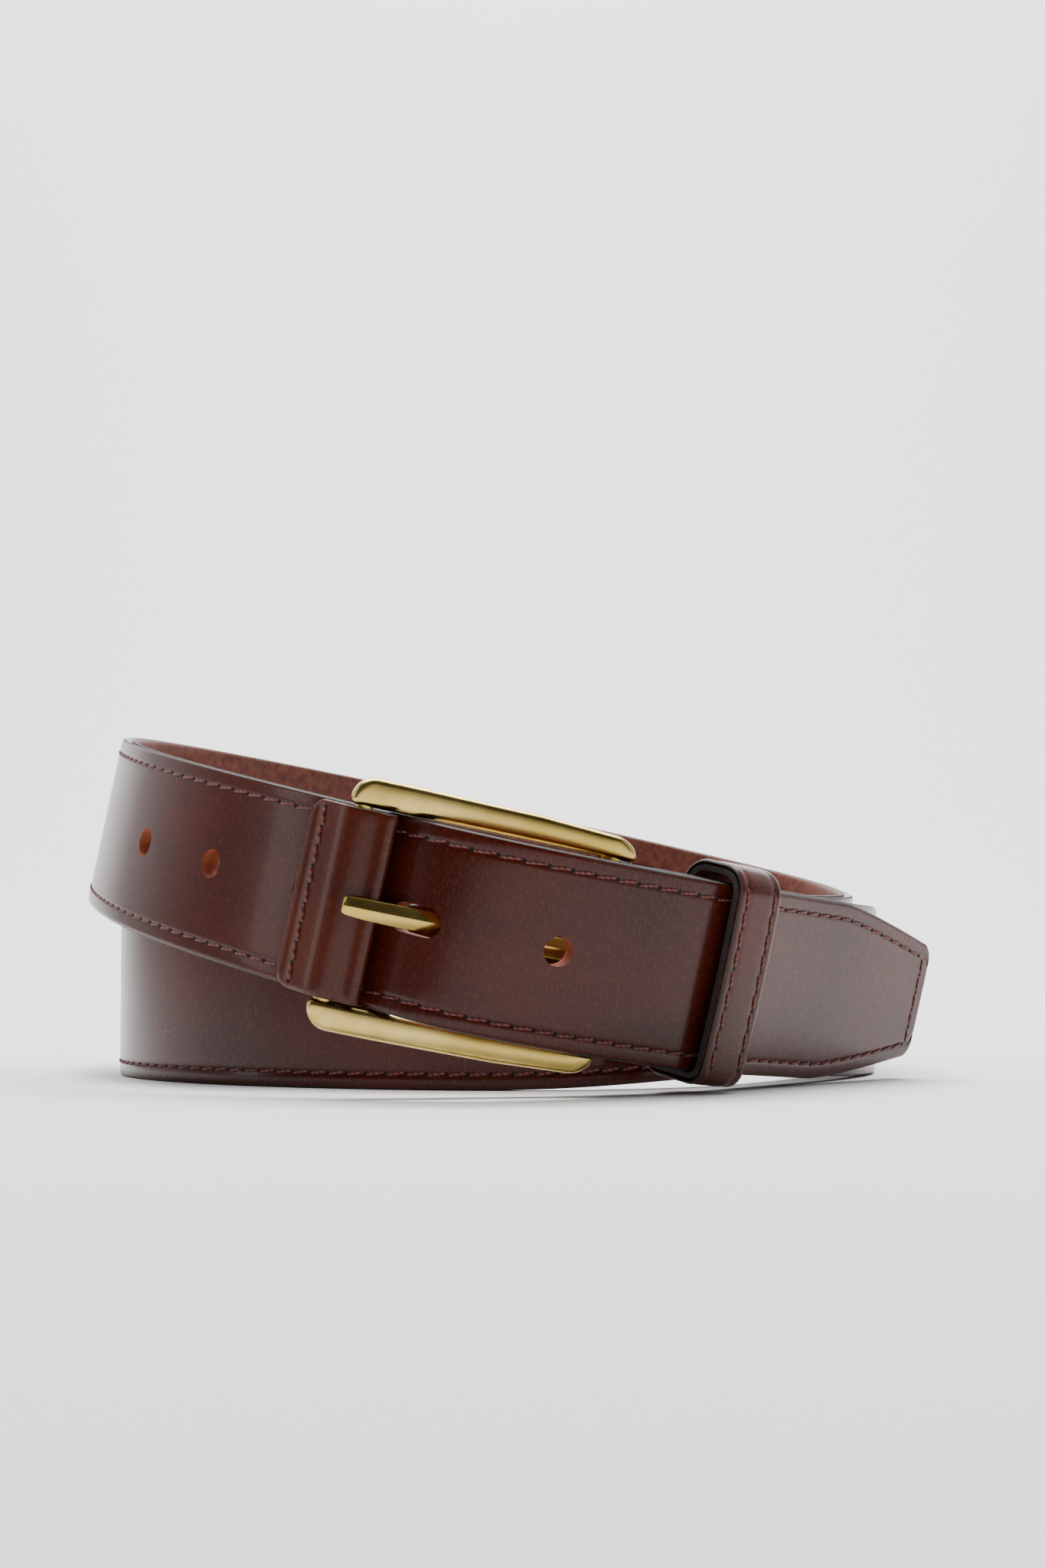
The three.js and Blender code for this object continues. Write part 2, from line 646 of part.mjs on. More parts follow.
function prismAcross(outline, from, to) {
  const shape = new THREE.Shape(outline.map(([x, y]) => new THREE.Vector2(x, y)));
  const g = new THREE.ExtrudeGeometry(shape, { depth: to - from, bevelEnabled: false });
  g.translate(0, 0, from);
  const p = g.attributes.position;
  for (let i = 0; i < p.count; i++) {
    const q = sleevePoint(p.getX(i), p.getY(i), p.getZ(i));
    p.setXYZ(i, q.x, q.y, q.z);
  }
  return plainGeometry(g);
}
const sleeveSolid = toManifold(prismAcross(sleeveOutline(), -SLEEVE_LENGTH / 2, SLEEVE_LENGTH / 2));
const sleeveHollow = toManifold(prismAcross(sleevePocket(), -SLEEVE_LENGTH, SLEEVE_LENGTH));
// rounded corners on the flap side
function cornerTool(side) {
  const g = new THREE.BoxGeometry(6, 12, 6);
  const p = g.attributes.position;
  for (let i = 0; i < p.count; i++) {
    const x = p.getX(i);
    const z = p.getZ(i);
    const rx = (x - z) * Math.SQRT1_2;
    const rz = (x + z) * Math.SQRT1_2;
    const q = sleevePoint(SLEEVE_FLAP_SIDE + rx + 2.2, p.getY(i), side * (SLEEVE_LENGTH / 2 + rz + 0.6));
    p.setXYZ(i, q.x, q.y, q.z);
  }
  return plainGeometry(g);
}
const sleeve = sleeveSolid.subtract(sleeveHollow)
  .subtract(toManifold(cornerTool(1)))
  .subtract(toManifold(cornerTool(-1)));
add('bar_sleeve', fromManifold(sleeve), faceLeather);
// One row of heavy stitches along the flap.
{
  const x = SLEEVE_FLAP_SIDE - 3.6;
  const y = pocketTop(x) + skin + 0.03;
  const outline = [[x - 0.55, y], [x + 0.55, y], [x + 0.55, y + 0.4], [x - 0.55, y + 0.4]];
  add('sleeve_stitching', prismAcross(outline, -SLEEVE_LENGTH / 2 + 1.5, SLEEVE_LENGTH / 2 - 1.5), threadFibre);
}

// ------------------------------------------------------------------ keeper
// Loose rectangular loop round the tail, the strap under it and the turned end.
const keeperStation = station(KEEPER_AT);
const KEEPER_OUT = 7.7;         // inner face of the front wall, out from the reference line
const KEEPER_IN = -2.3;          // inner face of the back wall
const KEEPER_TOP = STRAP_WIDTH / 2 + 1.5;
const KEEPER_BOTTOM = -STRAP_WIDTH / 2 - 0.2;
function keeperOutline(grow, r) {
  const path = new THREE.Shape();
  roundedRectangle(path, KEEPER_IN - grow, KEEPER_BOTTOM - grow, KEEPER_OUT + grow, KEEPER_TOP + grow, r);
  return path;
}
function keeperLayer(innerGrow, outerGrow, width) {
  const shape = keeperOutline(outerGrow, 3.4 + outerGrow - KEEPER_THICKNESS);
  const hole = new THREE.Path();
  roundedRectangle(hole, KEEPER_IN - innerGrow, KEEPER_BOTTOM - innerGrow,
    KEEPER_OUT + innerGrow, KEEPER_TOP + innerGrow, Math.max(0.8, 1.1 + innerGrow));
  shape.holes.push(hole);
  const g = new THREE.ExtrudeGeometry(shape, { depth: width, bevelEnabled: false, curveSegments: 5 });
  g.translate(0, 0, -width / 2);
  const s = keeperStation;
  // local x -> outward, local y -> across, local z -> along the strap
  const z = s.outward.clone().cross(s.across);
  g.applyMatrix4(basis(s.point, s.outward, s.across, z));
  return plainGeometry(g);
}
const KEEPER_SPLIT = 1.0;
add('keeper_lining', keeperLayer(0, KEEPER_SPLIT - 0.03, KEEPER_WIDTH), liningLeather);
add('keeper_face', keeperLayer(KEEPER_SPLIT + 0.03, KEEPER_THICKNESS, KEEPER_WIDTH), faceLeather);
for (const [name, side] of [['keeper_stitching_near', -1], ['keeper_stitching_far', 1]]) {
  const s = keeperStation;
  const out = KEEPER_OUT + KEEPER_THICKNESS + 0.03;
  const x = side * (KEEPER_WIDTH / 2 - 2);
  const outline = [[x - 0.4, out], [x + 0.4, out], [x + 0.4, out + 0.3], [x - 0.4, out + 0.3]];
  const ring = (width) => outline.map(([t, o]) => (
    stationPoint(s, o, width).addScaledVector(s.travel, t)));
  add(name, sweep([ring(KEEPER_BOTTOM + 2.6), ring(KEEPER_TOP - 2.6)]), threadFibre);
}

// ------------------------------------------------------- stand on the floor
const box = new THREE.Box3().setFromObject(group);
const centre = box.getCenter(new THREE.Vector3());
for (const mesh of group.children) mesh.geometry.translate(-centre.x, -centre.y, -box.min.z);

export default group;
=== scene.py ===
# %% [markdown]
# # A leather belt, buckled and stood on its edge
# The belt is a long strap of two glued and stitched layers. One end is folded
# round the heel bar of a brass buckle. The other end, the tail, has five holes
# and a tapered tip. Buckled and coiled twice, it stands on its lower edge.
# Everything made of leather is built the way a belt maker works: cut flat,
# punched and stitched flat, and only then bent into its place.

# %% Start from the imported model
import json
import math

import bpy
import numpy as np
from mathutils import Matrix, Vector

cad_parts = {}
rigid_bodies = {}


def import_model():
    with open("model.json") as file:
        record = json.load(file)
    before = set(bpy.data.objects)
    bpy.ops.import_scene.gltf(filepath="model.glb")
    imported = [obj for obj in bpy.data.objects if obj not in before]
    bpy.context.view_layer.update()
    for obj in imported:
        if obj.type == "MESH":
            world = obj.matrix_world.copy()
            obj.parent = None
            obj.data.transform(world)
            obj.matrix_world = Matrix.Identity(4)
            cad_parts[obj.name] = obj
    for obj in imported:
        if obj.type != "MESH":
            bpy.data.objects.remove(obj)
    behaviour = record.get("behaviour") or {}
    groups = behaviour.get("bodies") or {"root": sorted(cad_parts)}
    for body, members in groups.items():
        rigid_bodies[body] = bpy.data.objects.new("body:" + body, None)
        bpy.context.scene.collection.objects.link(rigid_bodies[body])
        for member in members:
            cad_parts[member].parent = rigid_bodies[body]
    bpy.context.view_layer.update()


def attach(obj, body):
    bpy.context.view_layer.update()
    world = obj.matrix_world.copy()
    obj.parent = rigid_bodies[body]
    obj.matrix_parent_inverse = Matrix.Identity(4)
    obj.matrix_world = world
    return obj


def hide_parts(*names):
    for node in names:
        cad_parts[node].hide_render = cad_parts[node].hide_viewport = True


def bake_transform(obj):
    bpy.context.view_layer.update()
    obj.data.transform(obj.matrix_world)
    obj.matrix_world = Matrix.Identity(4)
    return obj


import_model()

# %% [markdown]
# ## Sizes of the belt
# All lengths are in millimetres here and turned to metres where a mesh is made.
# The strap is 35 mm wide, a common width for a dress belt, and the rest follows.

# %% Driving sizes
MM = 0.001
STRAP_WIDTH = 35.0
FACE_THICKNESS = 2.0
LINING_THICKNESS = 1.3
GLUE_LINE = 0.05
STITCH_INSET = 3.0
HOLE_DIAMETER = 5.4
HOLE_PITCH = 25.4
FASTENED_SLOT = 10.4
LINING_RELIEF = 4.6
TURN_BACK = 16.5
HEEL_BAR_RADIUS = 2.0
OUTER_BAR_RADIUS = 1.75
BAR_SPACING = 45.7
FRAME_WINDOW = 35.8
RAIL_DEPTH = 4.6
PRONG_WIDTH = 3.9
SLEEVE_LEATHER = 1.25
SLEEVE_LENGTH = 34.6
SLEEVE_FOLD_SIDE = 7.2
SLEEVE_FLAP_SIDE = 10.2
SLEEVE_TURN = math.radians(36)
KEEPER_WIDTH = 12.0
KEEPER_AT = 24.8
KEEPER_OUT, KEEPER_IN = 7.7, -2.3
KEEPER_TOP, KEEPER_BOTTOM = STRAP_WIDTH / 2 + 1.5, -STRAP_WIDTH / 2 - 0.2
TIP_TAPER, TIP_CUT, TIP_NOSE = 38.0, 5.5, 3.2
FALL_RIGHT, RISE_BACK, PLANE_HEIGHT = 0.218, 0.075, 10.65
HEEL = (12.36, 8.26)
FRAME_ANGLE = math.radians(7)
# from the plan's origin to the part's, within 0.25 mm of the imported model's own shift
PART_SHIFT = np.array([5.0536, -100.8232, 0.037])
print("strap", STRAP_WIDTH, "x", FACE_THICKNESS + LINING_THICKNESS, "mm")

# %% [markdown]
# ## The line the strap follows
# A strap bends easily one way and hardly at all the other, so it keeps its
# width direction while its length winds round. The line between its two
# leathers is drawn through way points round both turns. Those of the upper
# turn and of the tail end started from a least-squares fit to the belt's edges
# and stitch rows and were then rounded, and the far side was brought forward.
# The others were given one by one. A natural cubic spline joins them, because it
# is smooth in slope and also in bend, and polished leather shows every jump in
# bend as a broken reflection.

# %% Directions of the leaning upper turn and of the buckle
def unit(v):
    v = np.asarray(v, float)
    return v / np.linalg.norm(v, axis=-1, keepdims=True)


UP = np.array([0.0, 0.0, 1.0])
LEAN = unit([FALL_RIGHT, -RISE_BACK, 1.0])


def width_direction(share):
    share = np.asarray(share, float)[..., None]
    return unit(UP * (1 - share) + LEAN * share)


def on_strap_middle(x, y, share):
    lower = share * (PLANE_HEIGHT - FALL_RIGHT * x + RISE_BACK * y)
    return np.array([x, y, lower + width_direction(share)[2] * STRAP_WIDTH / 2])


heel_centre = on_strap_middle(*HEEL, 1.0)
along_bars = LEAN
to_outer_bar = np.array([-math.cos(FRAME_ANGLE), -math.sin(FRAME_ANGLE), 0.0])
to_outer_bar = unit(to_outer_bar - along_bars * (to_outer_bar @ along_bars))
buckle_out = np.cross(along_bars, to_outer_bar)


def in_buckle(a, b, c=0.0):
    return heel_centre + a * to_outer_bar + b * buckle_out + c * along_bars


print("buckle faces", np.round(buckle_out, 3))

# %% Way points from the heel bar round both turns to the tip
# (x, y, share of the lean) in plan, or (a, b) in the buckle's own directions.
UNDER_THE_TAIL = [(13.76, 6.56, 1), (20.9, 11.6, 1), (29.6, 17.7, 1), (43, 34.4, 1), (54.4, 50.8, 0.95)]
LOWER_TURN = [
    (63.5, 68, 0.6), (71, 88, 0.25), (74, 108, 0), (74, 131, 0), (71, 153, 0), (64, 171.5, 0),
    (50.5, 188, 0), (32, 200, 0), (10, 206, 0), (-12, 206.5, 0), (-33, 202, 0), (-52, 192.5, 0),
    (-68, 178, 0), (-78, 158, 0), (-83.5, 137, 0), (-84.5, 115, 0), (-83, 95, 0), (-77, 77, 0)]
INNER_PASS = [
    (-66, 61, 0), (-52, 48, 0), (-35, 38, 0), (-16, 31.5, 0), (4, 30.5, 0.02), (23, 36, 0.15),
    (39, 47.5, 0.4), (51, 63, 0.65), (60, 81, 0.85), (65, 100, 1)]
UPPER_TURN = [
    (66.3, 117, 1), (66, 133.5, 1), (63.5, 151, 1), (56.5, 168, 1), (45, 182, 1), (29, 192, 1),
    (10.5, 197.5, 1), (-9, 198, 1), (-28, 194, 1), (-45.5, 186, 1), (-61, 175, 1), (-73.5, 161, 1),
    (-82.5, 145, 1), (-87.3, 128, 1), (-88, 109.4, 1), (-85.8, 89.6, 1), (-81, 70.3, 1),
    (-73.6, 52, 1), (-62.8, 35.7, 1), (-49.6, 21.9, 1)]
THROUGH_THE_BUCKLE = [
    (45.7, -7.3), (40.2, -3), (36.2, 0.7), (33.4, 3.4), (30.4, 6), (27, 8.2),
    (23, 9.7), (17, 10.4), (9.5, 9.5), (0, 6.8)]
TAIL_END = [(34, 16, 1), (46.2, 31.8, 1), (57.8, 48.2, 1), (69.4, 64.5, 1), (80.2, 79.7, 1)]

way_points, way_share = [], []
for x, y, share in UNDER_THE_TAIL + LOWER_TURN + INNER_PASS + UPPER_TURN:
    way_points.append(on_strap_middle(x, y, share))
    way_share.append(share)
for a, b in THROUGH_THE_BUCKLE:
    way_points.append(in_buckle(a, b))
    way_share.append(1)
for x, y, share in TAIL_END:
    way_points.append(on_strap_middle(x, y, share))
    way_share.append(share)
way_points, way_share = np.array(way_points), np.array(way_share, float)
print(len(way_points), "way points")


# %% A natural cubic spline, and lengths measured along it
def natural_spline(knots, values, at):
    n, h = len(knots), np.diff(knots)
    system, right = np.eye(n), np.zeros((n, values.shape[1]))
    for i in range(1, n - 1):
        system[i, i - 1:i + 2] = h[i - 1] / 6, (h[i - 1] + h[i]) / 3, h[i] / 6
        right[i] = (values[i + 1] - values[i]) / h[i] - (values[i] - values[i - 1]) / h[i - 1]
    bend = np.linalg.solve(system, right)
    k = np.clip(np.searchsorted(knots, at) - 1, 0, n - 2)
    step = h[k][:, None]
    a = (knots[k + 1] - at)[:, None] / step
    b = 1 - a
    return (a * values[k] + b * values[k + 1]
            + ((a ** 3 - a) * bend[k] + (b ** 3 - b) * bend[k + 1]) * step ** 2 / 6)


def measured_path(points, across):
    """A path as arrays: length, place, outward and across directions."""
    travel = unit(np.gradient(points, axis=0))
    across = unit(across - travel * np.sum(across * travel, 1, keepdims=True))
    length = np.concatenate([[0], np.cumsum(np.linalg.norm(np.diff(points, axis=0), axis=1))])
    return {"length": length, "place": points, "out": np.cross(travel, across), "across": across}


knots = np.concatenate([[0], np.cumsum(np.linalg.norm(np.diff(way_points, axis=0), axis=1))])
dense = np.linspace(0, knots[-1], 16000)
spline = natural_spline(knots, np.column_stack([way_points, way_share]), dense)
coil = measured_path(spline[:, :3], width_direction(np.clip(spline[:, 3], 0, 1)))
STRAP_LENGTH = coil["length"][-1]


def length_near(place, low, high):
    inside = (coil["length"] >= low) & (coil["length"] <= high)
    distance = np.where(inside, np.linalg.norm(coil["place"] - place, axis=1), np.inf)
    return coil["length"][np.argmin(distance)]


TAIL_REGION = (STRAP_LENGTH - 260, STRAP_LENGTH)
heel_passing = length_near(in_buckle(0, 6.8), *TAIL_REGION)
slot_centre = length_near(in_buckle(31.8, 4.6), *TAIL_REGION)
TIP_START = STRAP_LENGTH - TIP_TAPER
NOSE_START = STRAP_LENGTH - TIP_NOSE
SEAM_AT = heel_passing + 29.5
print("strap length", round(STRAP_LENGTH), "mm, fastened hole at", round(slot_centre))

# %% [markdown]
# ## The fold round the heel bar
# Before length zero the face leather comes from behind: it lies folded back
# behind the strap for 16.5 mm and turns round the bar in a half circle. Negative
# lengths are given to that part, so one path serves the whole face leather.

# %% Put the fold in front of the coil's path
start = {k: coil[k][0] for k in ("place", "out", "across")}
from_bar = start["place"] - heel_centre
from_bar = from_bar - along_bars * (from_bar @ along_bars)
FOLD_RADIUS = np.linalg.norm(from_bar)
FOLD_LENGTH = math.pi * FOLD_RADIUS
bar_level = heel_centre + along_bars * ((start["place"] - heel_centre) @ along_bars)


def turned(vector, axis, angle):
    c, s = np.cos(angle)[:, None], np.sin(angle)[:, None]
    return vector * c + np.cross(axis, vector) * s + axis * (vector @ axis) * (1 - c)


def sample(path, length, key):
    return np.column_stack([np.interp(length, path["length"], path[key][:, k]) for k in range(3)])


CLOSED_AFTER = 15.0      # the turned-back end meets the strap this far from the bar
CLOSED_GAP = LINING_THICKNESS + 0.4
angle = np.linspace(math.pi, 0, 60)[:-1]
fold_out = turned(start["out"], start["across"], angle)
back_at = np.linspace(TURN_BACK, 0.15, 120)
closing = np.clip(back_at / CLOSED_AFTER, 0, 1)
closing = closing ** 2 * (3 - 2 * closing)
gap = 2 * FOLD_RADIUS * (1 - closing) + CLOSED_GAP * closing
coil = {
    "length": np.concatenate([-FOLD_LENGTH - back_at, -angle * FOLD_RADIUS, coil["length"]]),
    "place": np.vstack([sample(coil, back_at, "place") - gap[:, None] * sample(coil, back_at, "out"),
                        bar_level + FOLD_RADIUS * fold_out, coil["place"]]),
    "out": np.vstack([-sample(coil, back_at, "out"), fold_out, coil["out"]]),
    "across": np.vstack([sample(coil, back_at, "across"), np.tile(start["across"], (len(angle), 1)),
                         coil["across"]]),
}
print("fold radius", round(FOLD_RADIUS, 2), "mm")


# %% [markdown]
# ## Small helpers
# A blank is a flat grid in the strap's own directions: x along it, y across it
# and z out of its face. `bend_along` then lays it along a path, as the maker's
# hands would, without stretching it.

# %% Helpers for blanks
def only(piece):
    bpy.ops.object.select_all(action="DESELECT")
    piece.select_set(True)
    bpy.context.view_layer.objects.active = piece
    return piece


def points_of(piece):
    co = np.zeros(len(piece.data.vertices) * 3)
    piece.data.vertices.foreach_get("co", co)
    return co.reshape(-1, 3) / MM


def set_points(piece, co):
    piece.data.vertices.foreach_set("co", (co * MM).ravel())
    piece.data.update()


def blank(name, lengths, widths):
    bpy.ops.object.select_all(action="DESELECT")
    bpy.ops.mesh.primitive_grid_add(
        x_subdivisions=len(lengths) - 1, y_subdivisions=len(widths) - 1, size=1)
    piece = bpy.context.object
    piece.name = piece.data.name = name
    co = points_of(piece) * MM + 0.5
    rows = np.rint(co[:, 0] * (len(lengths) - 1)).astype(int)
    columns = np.rint(co[:, 1] * (len(widths) - 1)).astype(int)
    set_points(piece, np.column_stack([np.asarray(lengths)[rows], np.asarray(widths)[columns],
                                       np.zeros(len(co))]))
    return piece


def apply_modifier(piece, kind, **settings):
    only(piece)
    modifier = piece.modifiers.new(kind, kind)
    for key, value in settings.items():
        setattr(modifier, key, value)
    bpy.ops.object.modifier_apply(modifier=modifier.name)


def thicken(piece, thickness):
    """Gives a blank its thickness downwards, with a flat back."""
    apply_modifier(piece, "SOLIDIFY", thickness=thickness * MM, offset=-1)
    co = points_of(piece)
    co[:, 2] = np.where(co[:, 2] < -0.6 * thickness, -thickness, co[:, 2])
    set_points(piece, co)


def bend_along(piece, path, lift=0.0):
    co = points_of(piece)
    set_points(piece, PART_SHIFT + sample(path, co[:, 0], "place")
               + sample(path, co[:, 0], "out") * (co[:, 2:3] + lift)
               + sample(path, co[:, 0], "across") * co[:, 1:2])


def smooth(piece, degrees=35):
    only(piece)
    bpy.ops.object.shade_smooth_by_angle(angle=math.radians(degrees))


def steps(low, high, step):
    return list(np.linspace(low, high, max(2, int(round((high - low) / step)) + 1)))


print("helpers ready")


# %% [markdown]
# ## Colours and shader nodes
# Colours are written as the sRGB hex values a painter's chart would give and
# turned to linear light by one function. One more function adds a node.

# %% Colour and node helpers
def linear(hex_colour):
    out = []
    for shift in (16, 8, 0):
        c = ((hex_colour >> shift) & 255) / 255
        out.append(c / 12.92 if c <= 0.04045 else ((c + 0.055) / 1.055) ** 2.4)
    return (*out, 1.0)


def material(name, **sockets):
    made = bpy.data.materials.new(name)
    made.use_nodes = True
    shader = made.node_tree.nodes["Principled BSDF"]
    for key, value in sockets.items():
        shader.inputs[key.replace("_", " ")].default_value = value
    return made


def node(made, kind, settings=None, **links):
    """Adds a node; a link's value is (node, output name) or a plain value, and i6 is input 6."""
    new = made.node_tree.nodes.new(kind)
    for key, value in (settings or {}).items():
        setattr(new, key, value)
    for key, value in links.items():
        numbered = key[0] == "i" and key[1:].isdigit()
        socket = new.inputs[int(key[1:]) if numbered else key.replace("_", " ")]
        if isinstance(value, tuple) and isinstance(value[0], bpy.types.Node):
            made.node_tree.links.new(value[0].outputs[value[1]], socket)
        else:
            socket.default_value = value
    return new


def feed(made, socket, source, output):
    shader = made.node_tree.nodes["Principled BSDF"]
    made.node_tree.links.new(source.outputs[output], shader.inputs[socket])


def ramp(made, source, output, stops):
    new = node(made, "ShaderNodeValToRGB", Fac=(source, output))
    for i, (position, colour) in enumerate(stops):
        stop = new.color_ramp.elements[i] if i < 2 else new.color_ramp.elements.new(position)
        stop.position, stop.color = position, colour
    return new


print("colour helpers ready")

# %% [markdown]
# ## Bridle-style leather, dyed oxblood and polished
# The grain side is dyed through thin layers and burnished, so it is a dark
# brown with warmer red where light gets in. It has a clear shine over a fine
# grain, and small creases that run across the strap. The pattern follows the
# flat blank's own map, so it stays put when the strap is bent.

# %% Face leather
def flat_map(made, x_per_mm, y_per_mm):
    uv = node(made, "ShaderNodeUVMap", {"uv_map": "flat"})
    return node(made, "ShaderNodeMapping", Vector=(uv, "UV"),
                Scale=(1000 * x_per_mm, 1000 * y_per_mm, 1))


def polished_leather(name, dark, warm, gloss=0.24):
    made = material(name, Roughness=gloss, IOR=1.5, Specular_IOR_Level=0.2,
                    Coat_Weight=0.11, Coat_Roughness=0.08, Coat_IOR=1.5)
    # dye lies a little unevenly over about 25 mm, and the fine creases are painted a lighter orange-brown
    # where they catch the light: painted highlight
    mottle = node(made, "ShaderNodeTexNoise", Vector=(flat_map(made, 1 / 25, 1 / 18), "Vector"),
                  Scale=1.0, Detail=2.0, Roughness=0.4)
    dye = ramp(made, mottle, "Fac", [(0.0, linear(dark)), (1.0, linear(warm))])
    crease = node(made, "ShaderNodeTexNoise", Vector=(flat_map(made, 2.2, 0.8), "Vector"),
                  Scale=1.0, Detail=3.0, Roughness=0.6, Distortion=0.5)
    crease_highlight_lines = ramp(made, crease, "Fac", [(0.5, (0, 0, 0, 1)), (0.74, (0.25, 0.25, 0.25, 1))])
    # the orange-brown mixed in along the creases is a painted highlight
    colour = node(made, "ShaderNodeMix", {"data_type": "RGBA"}, i0=(crease_highlight_lines, "Color"),
                  i6=(dye, "Color"), i7=linear(0x7A3B20))
    feed(made, "Base Color", colour, 2)
    # grain pores about 0.4 mm apart, over creases 0.45 mm apart and 1.25 mm long
    grain = node(made, "ShaderNodeTexNoise", Vector=(flat_map(made, 2.6, 2.6), "Vector"),
                 Scale=1.0, Detail=3.0)
    fine = node(made, "ShaderNodeBump", Height=(grain, "Fac"), Strength=0.12, Distance=0.0001)
    rough = node(made, "ShaderNodeBump", Height=(crease, "Fac"), Normal=(fine, "Normal"),
                 Strength=0.1, Distance=0.00015)
    feed(made, "Normal", rough, "Normal")
    return made


face_leather = polished_leather("Oxblood bridle leather, polished", 0x1C0503, 0x4E170B)
sleeve_leather = polished_leather("Oxblood bridle leather, worn at the buckle", 0x260B06, 0x55200F, 0.26)
print(face_leather.name)

# %% [markdown]
# ## The other leathers and the thread
# The cut edges are sanded and painted near black. The punched holes show raw
# vegetable-tanned leather, orange-tan. The lining is an undyed calf leather
# that has taken a reddish brown. The thread is bonded polyester.

# %% Edge paint, raw leather, lining and thread
edge_paint = material("Black edge paint on leather", Base_Color=linear(0x222321),
                      Roughness=0.6, IOR=1.45)
paint_grain = node(edge_paint, "ShaderNodeTexNoise", Vector=(flat_map(edge_paint, 0.9, 2.2), "Vector"),
                   Scale=1.0, Detail=5.0, Roughness=0.65)
feed(edge_paint, "Normal", node(edge_paint, "ShaderNodeBump", Height=(paint_grain, "Fac"), Strength=0.4,
                                Distance=0.0002), "Normal")
feed(edge_paint, "Base Color", ramp(edge_paint, paint_grain, "Fac",
                                    [(0.35, linear(0x171817)), (0.75, linear(0x313330))]), "Color")
raw_leather = material("Raw vegetable-tanned leather", Base_Color=linear(0x8A4220),
                       Roughness=0.75, IOR=1.45)
lining_leather = material("Calf lining leather", Base_Color=linear(0x6B3526),
                          Roughness=0.55, IOR=1.45)
nap = node(lining_leather, "ShaderNodeTexNoise", Vector=(flat_map(lining_leather, 0.5, 0.5), "Vector"),
           Scale=1.0, Detail=6.0, Roughness=0.6)
feed(lining_leather, "Base Color", ramp(lining_leather, nap, "Fac",
                                        [(0.3, linear(0x4A1F17)), (0.7, linear(0x7C4230))]), "Color")
feed(lining_leather, "Normal", node(lining_leather, "ShaderNodeBump", Height=(nap, "Fac"), Strength=0.25,
                                    Distance=0.0003), "Normal")
thread = material("Bonded polyester thread", Base_Color=linear(0x5E302C), Roughness=0.6, IOR=1.45)
# the twist of the plies, drawn a little coarse: it repeats about every 1.25 mm
ply = node(thread, "ShaderNodeTexWave", {"wave_type": "BANDS", "bands_direction": "DIAGONAL"},
           Vector=(flat_map(thread, 1.0, 1.0), "Vector"), Scale=0.5, Distortion=0.6)
feed(thread, "Base Color", ramp(thread, ply, "Fac",
                                [(0.2, linear(0x451B18)), (0.8, linear(0x733B35))]), "Color")
# near-black finish for the discs that stand for the shade inside the needle holes: painted shade
painted_needle_shade = material("Painted shade in needle holes", Base_Color=linear(0x0D0706), Roughness=0.9, IOR=1.4)
print("leathers and thread ready")

# %% [markdown]
# ## Antiqued brass, with painted dark reflections
# The buckle is cast, tumbled and lightly antiqued: a greenish gold with tarnish
# in random patches and very fine polishing marks. The darker end of the tarnish
# also stands in for the dark leather and room that the brass reflects: painted
# dark reflection.

# %% Brass
brass = material("Cast brass, tarnished, with painted dark reflections", Base_Color=linear(0xCDB269), Metallic=1.0, Roughness=0.22)
place = node(brass, "ShaderNodeTexCoord")
# tarnish in patches about 11 mm across, whose darker end is also painted dark reflection; polishing marks
# about 0.55 mm apart
TARNISH_AND_REFLECTION_PER_M, MARKS_PER_M = 90.0, 1800.0
tarnish_and_dark_reflection = node(brass, "ShaderNodeTexNoise", Vector=(place, "Object"),
               Scale=TARNISH_AND_REFLECTION_PER_M, Detail=4.0, Roughness=0.55)
# the darker brass of this ramp is partly tarnish and partly painted dark reflection
feed(brass, "Base Color", ramp(brass, tarnish_and_dark_reflection, "Fac",
                               [(0.3, linear(0xAE9349)), (0.7, linear(0xD3BA72))]), "Color")
marks = node(brass, "ShaderNodeTexNoise", Vector=(place, "Object"), Scale=MARKS_PER_M, Detail=2.0)
feed(brass, "Roughness", node(brass, "ShaderNodeMapRange", Value=(tarnish_and_dark_reflection, "Fac"),
                              To_Min=0.18, To_Max=0.32), "Result")
feed(brass, "Normal", node(brass, "ShaderNodeBump", Height=(marks, "Fac"), Strength=0.05,
                           Distance=0.00002), "Normal")
print(brass.name)


# %% [markdown]
# ## The outline of the strap
# Full width for most of its length, then a taper that eases in and a blunt nose.
# The outer columns of the blank keep their distance from the edge, so the
# stitch rows run parallel to it, and the middle is squeezed evenly.

# %% Outline of the tip and the shoulder of the edge
def half_width(length):
    full = STRAP_WIDTH / 2
    length = np.asarray(length, float)
    taper = np.clip((length - TIP_START) / (NOSE_START - TIP_START), 0, 1) ** 1.25
    nose = np.clip((length - NOSE_START) / TIP_NOSE, 0, 1)
    corner = TIP_NOSE * (1 - np.sqrt(1 - nose ** 2))
    return full - TIP_CUT * taper - corner


def fit_outline(co):
    """Moves flat points from a parallel strap to the tapered one."""
    full, margin = STRAP_WIDTH / 2, 5.5          # the margin holds the edge and the stitch row
    at_corner = half_width(np.minimum(co[:, 0], NOSE_START))
    y = np.abs(co[:, 1])
    inner = full - margin
    squeezed = y * (at_corner - margin) / inner
    y_new = np.where(y > inner, y - (full - at_corner), squeezed)
    y_new = y_new * half_width(co[:, 0]) / at_corner
    co = co.copy()
    co[:, 1] = np.sign(co[:, 1]) * y_new
    return co


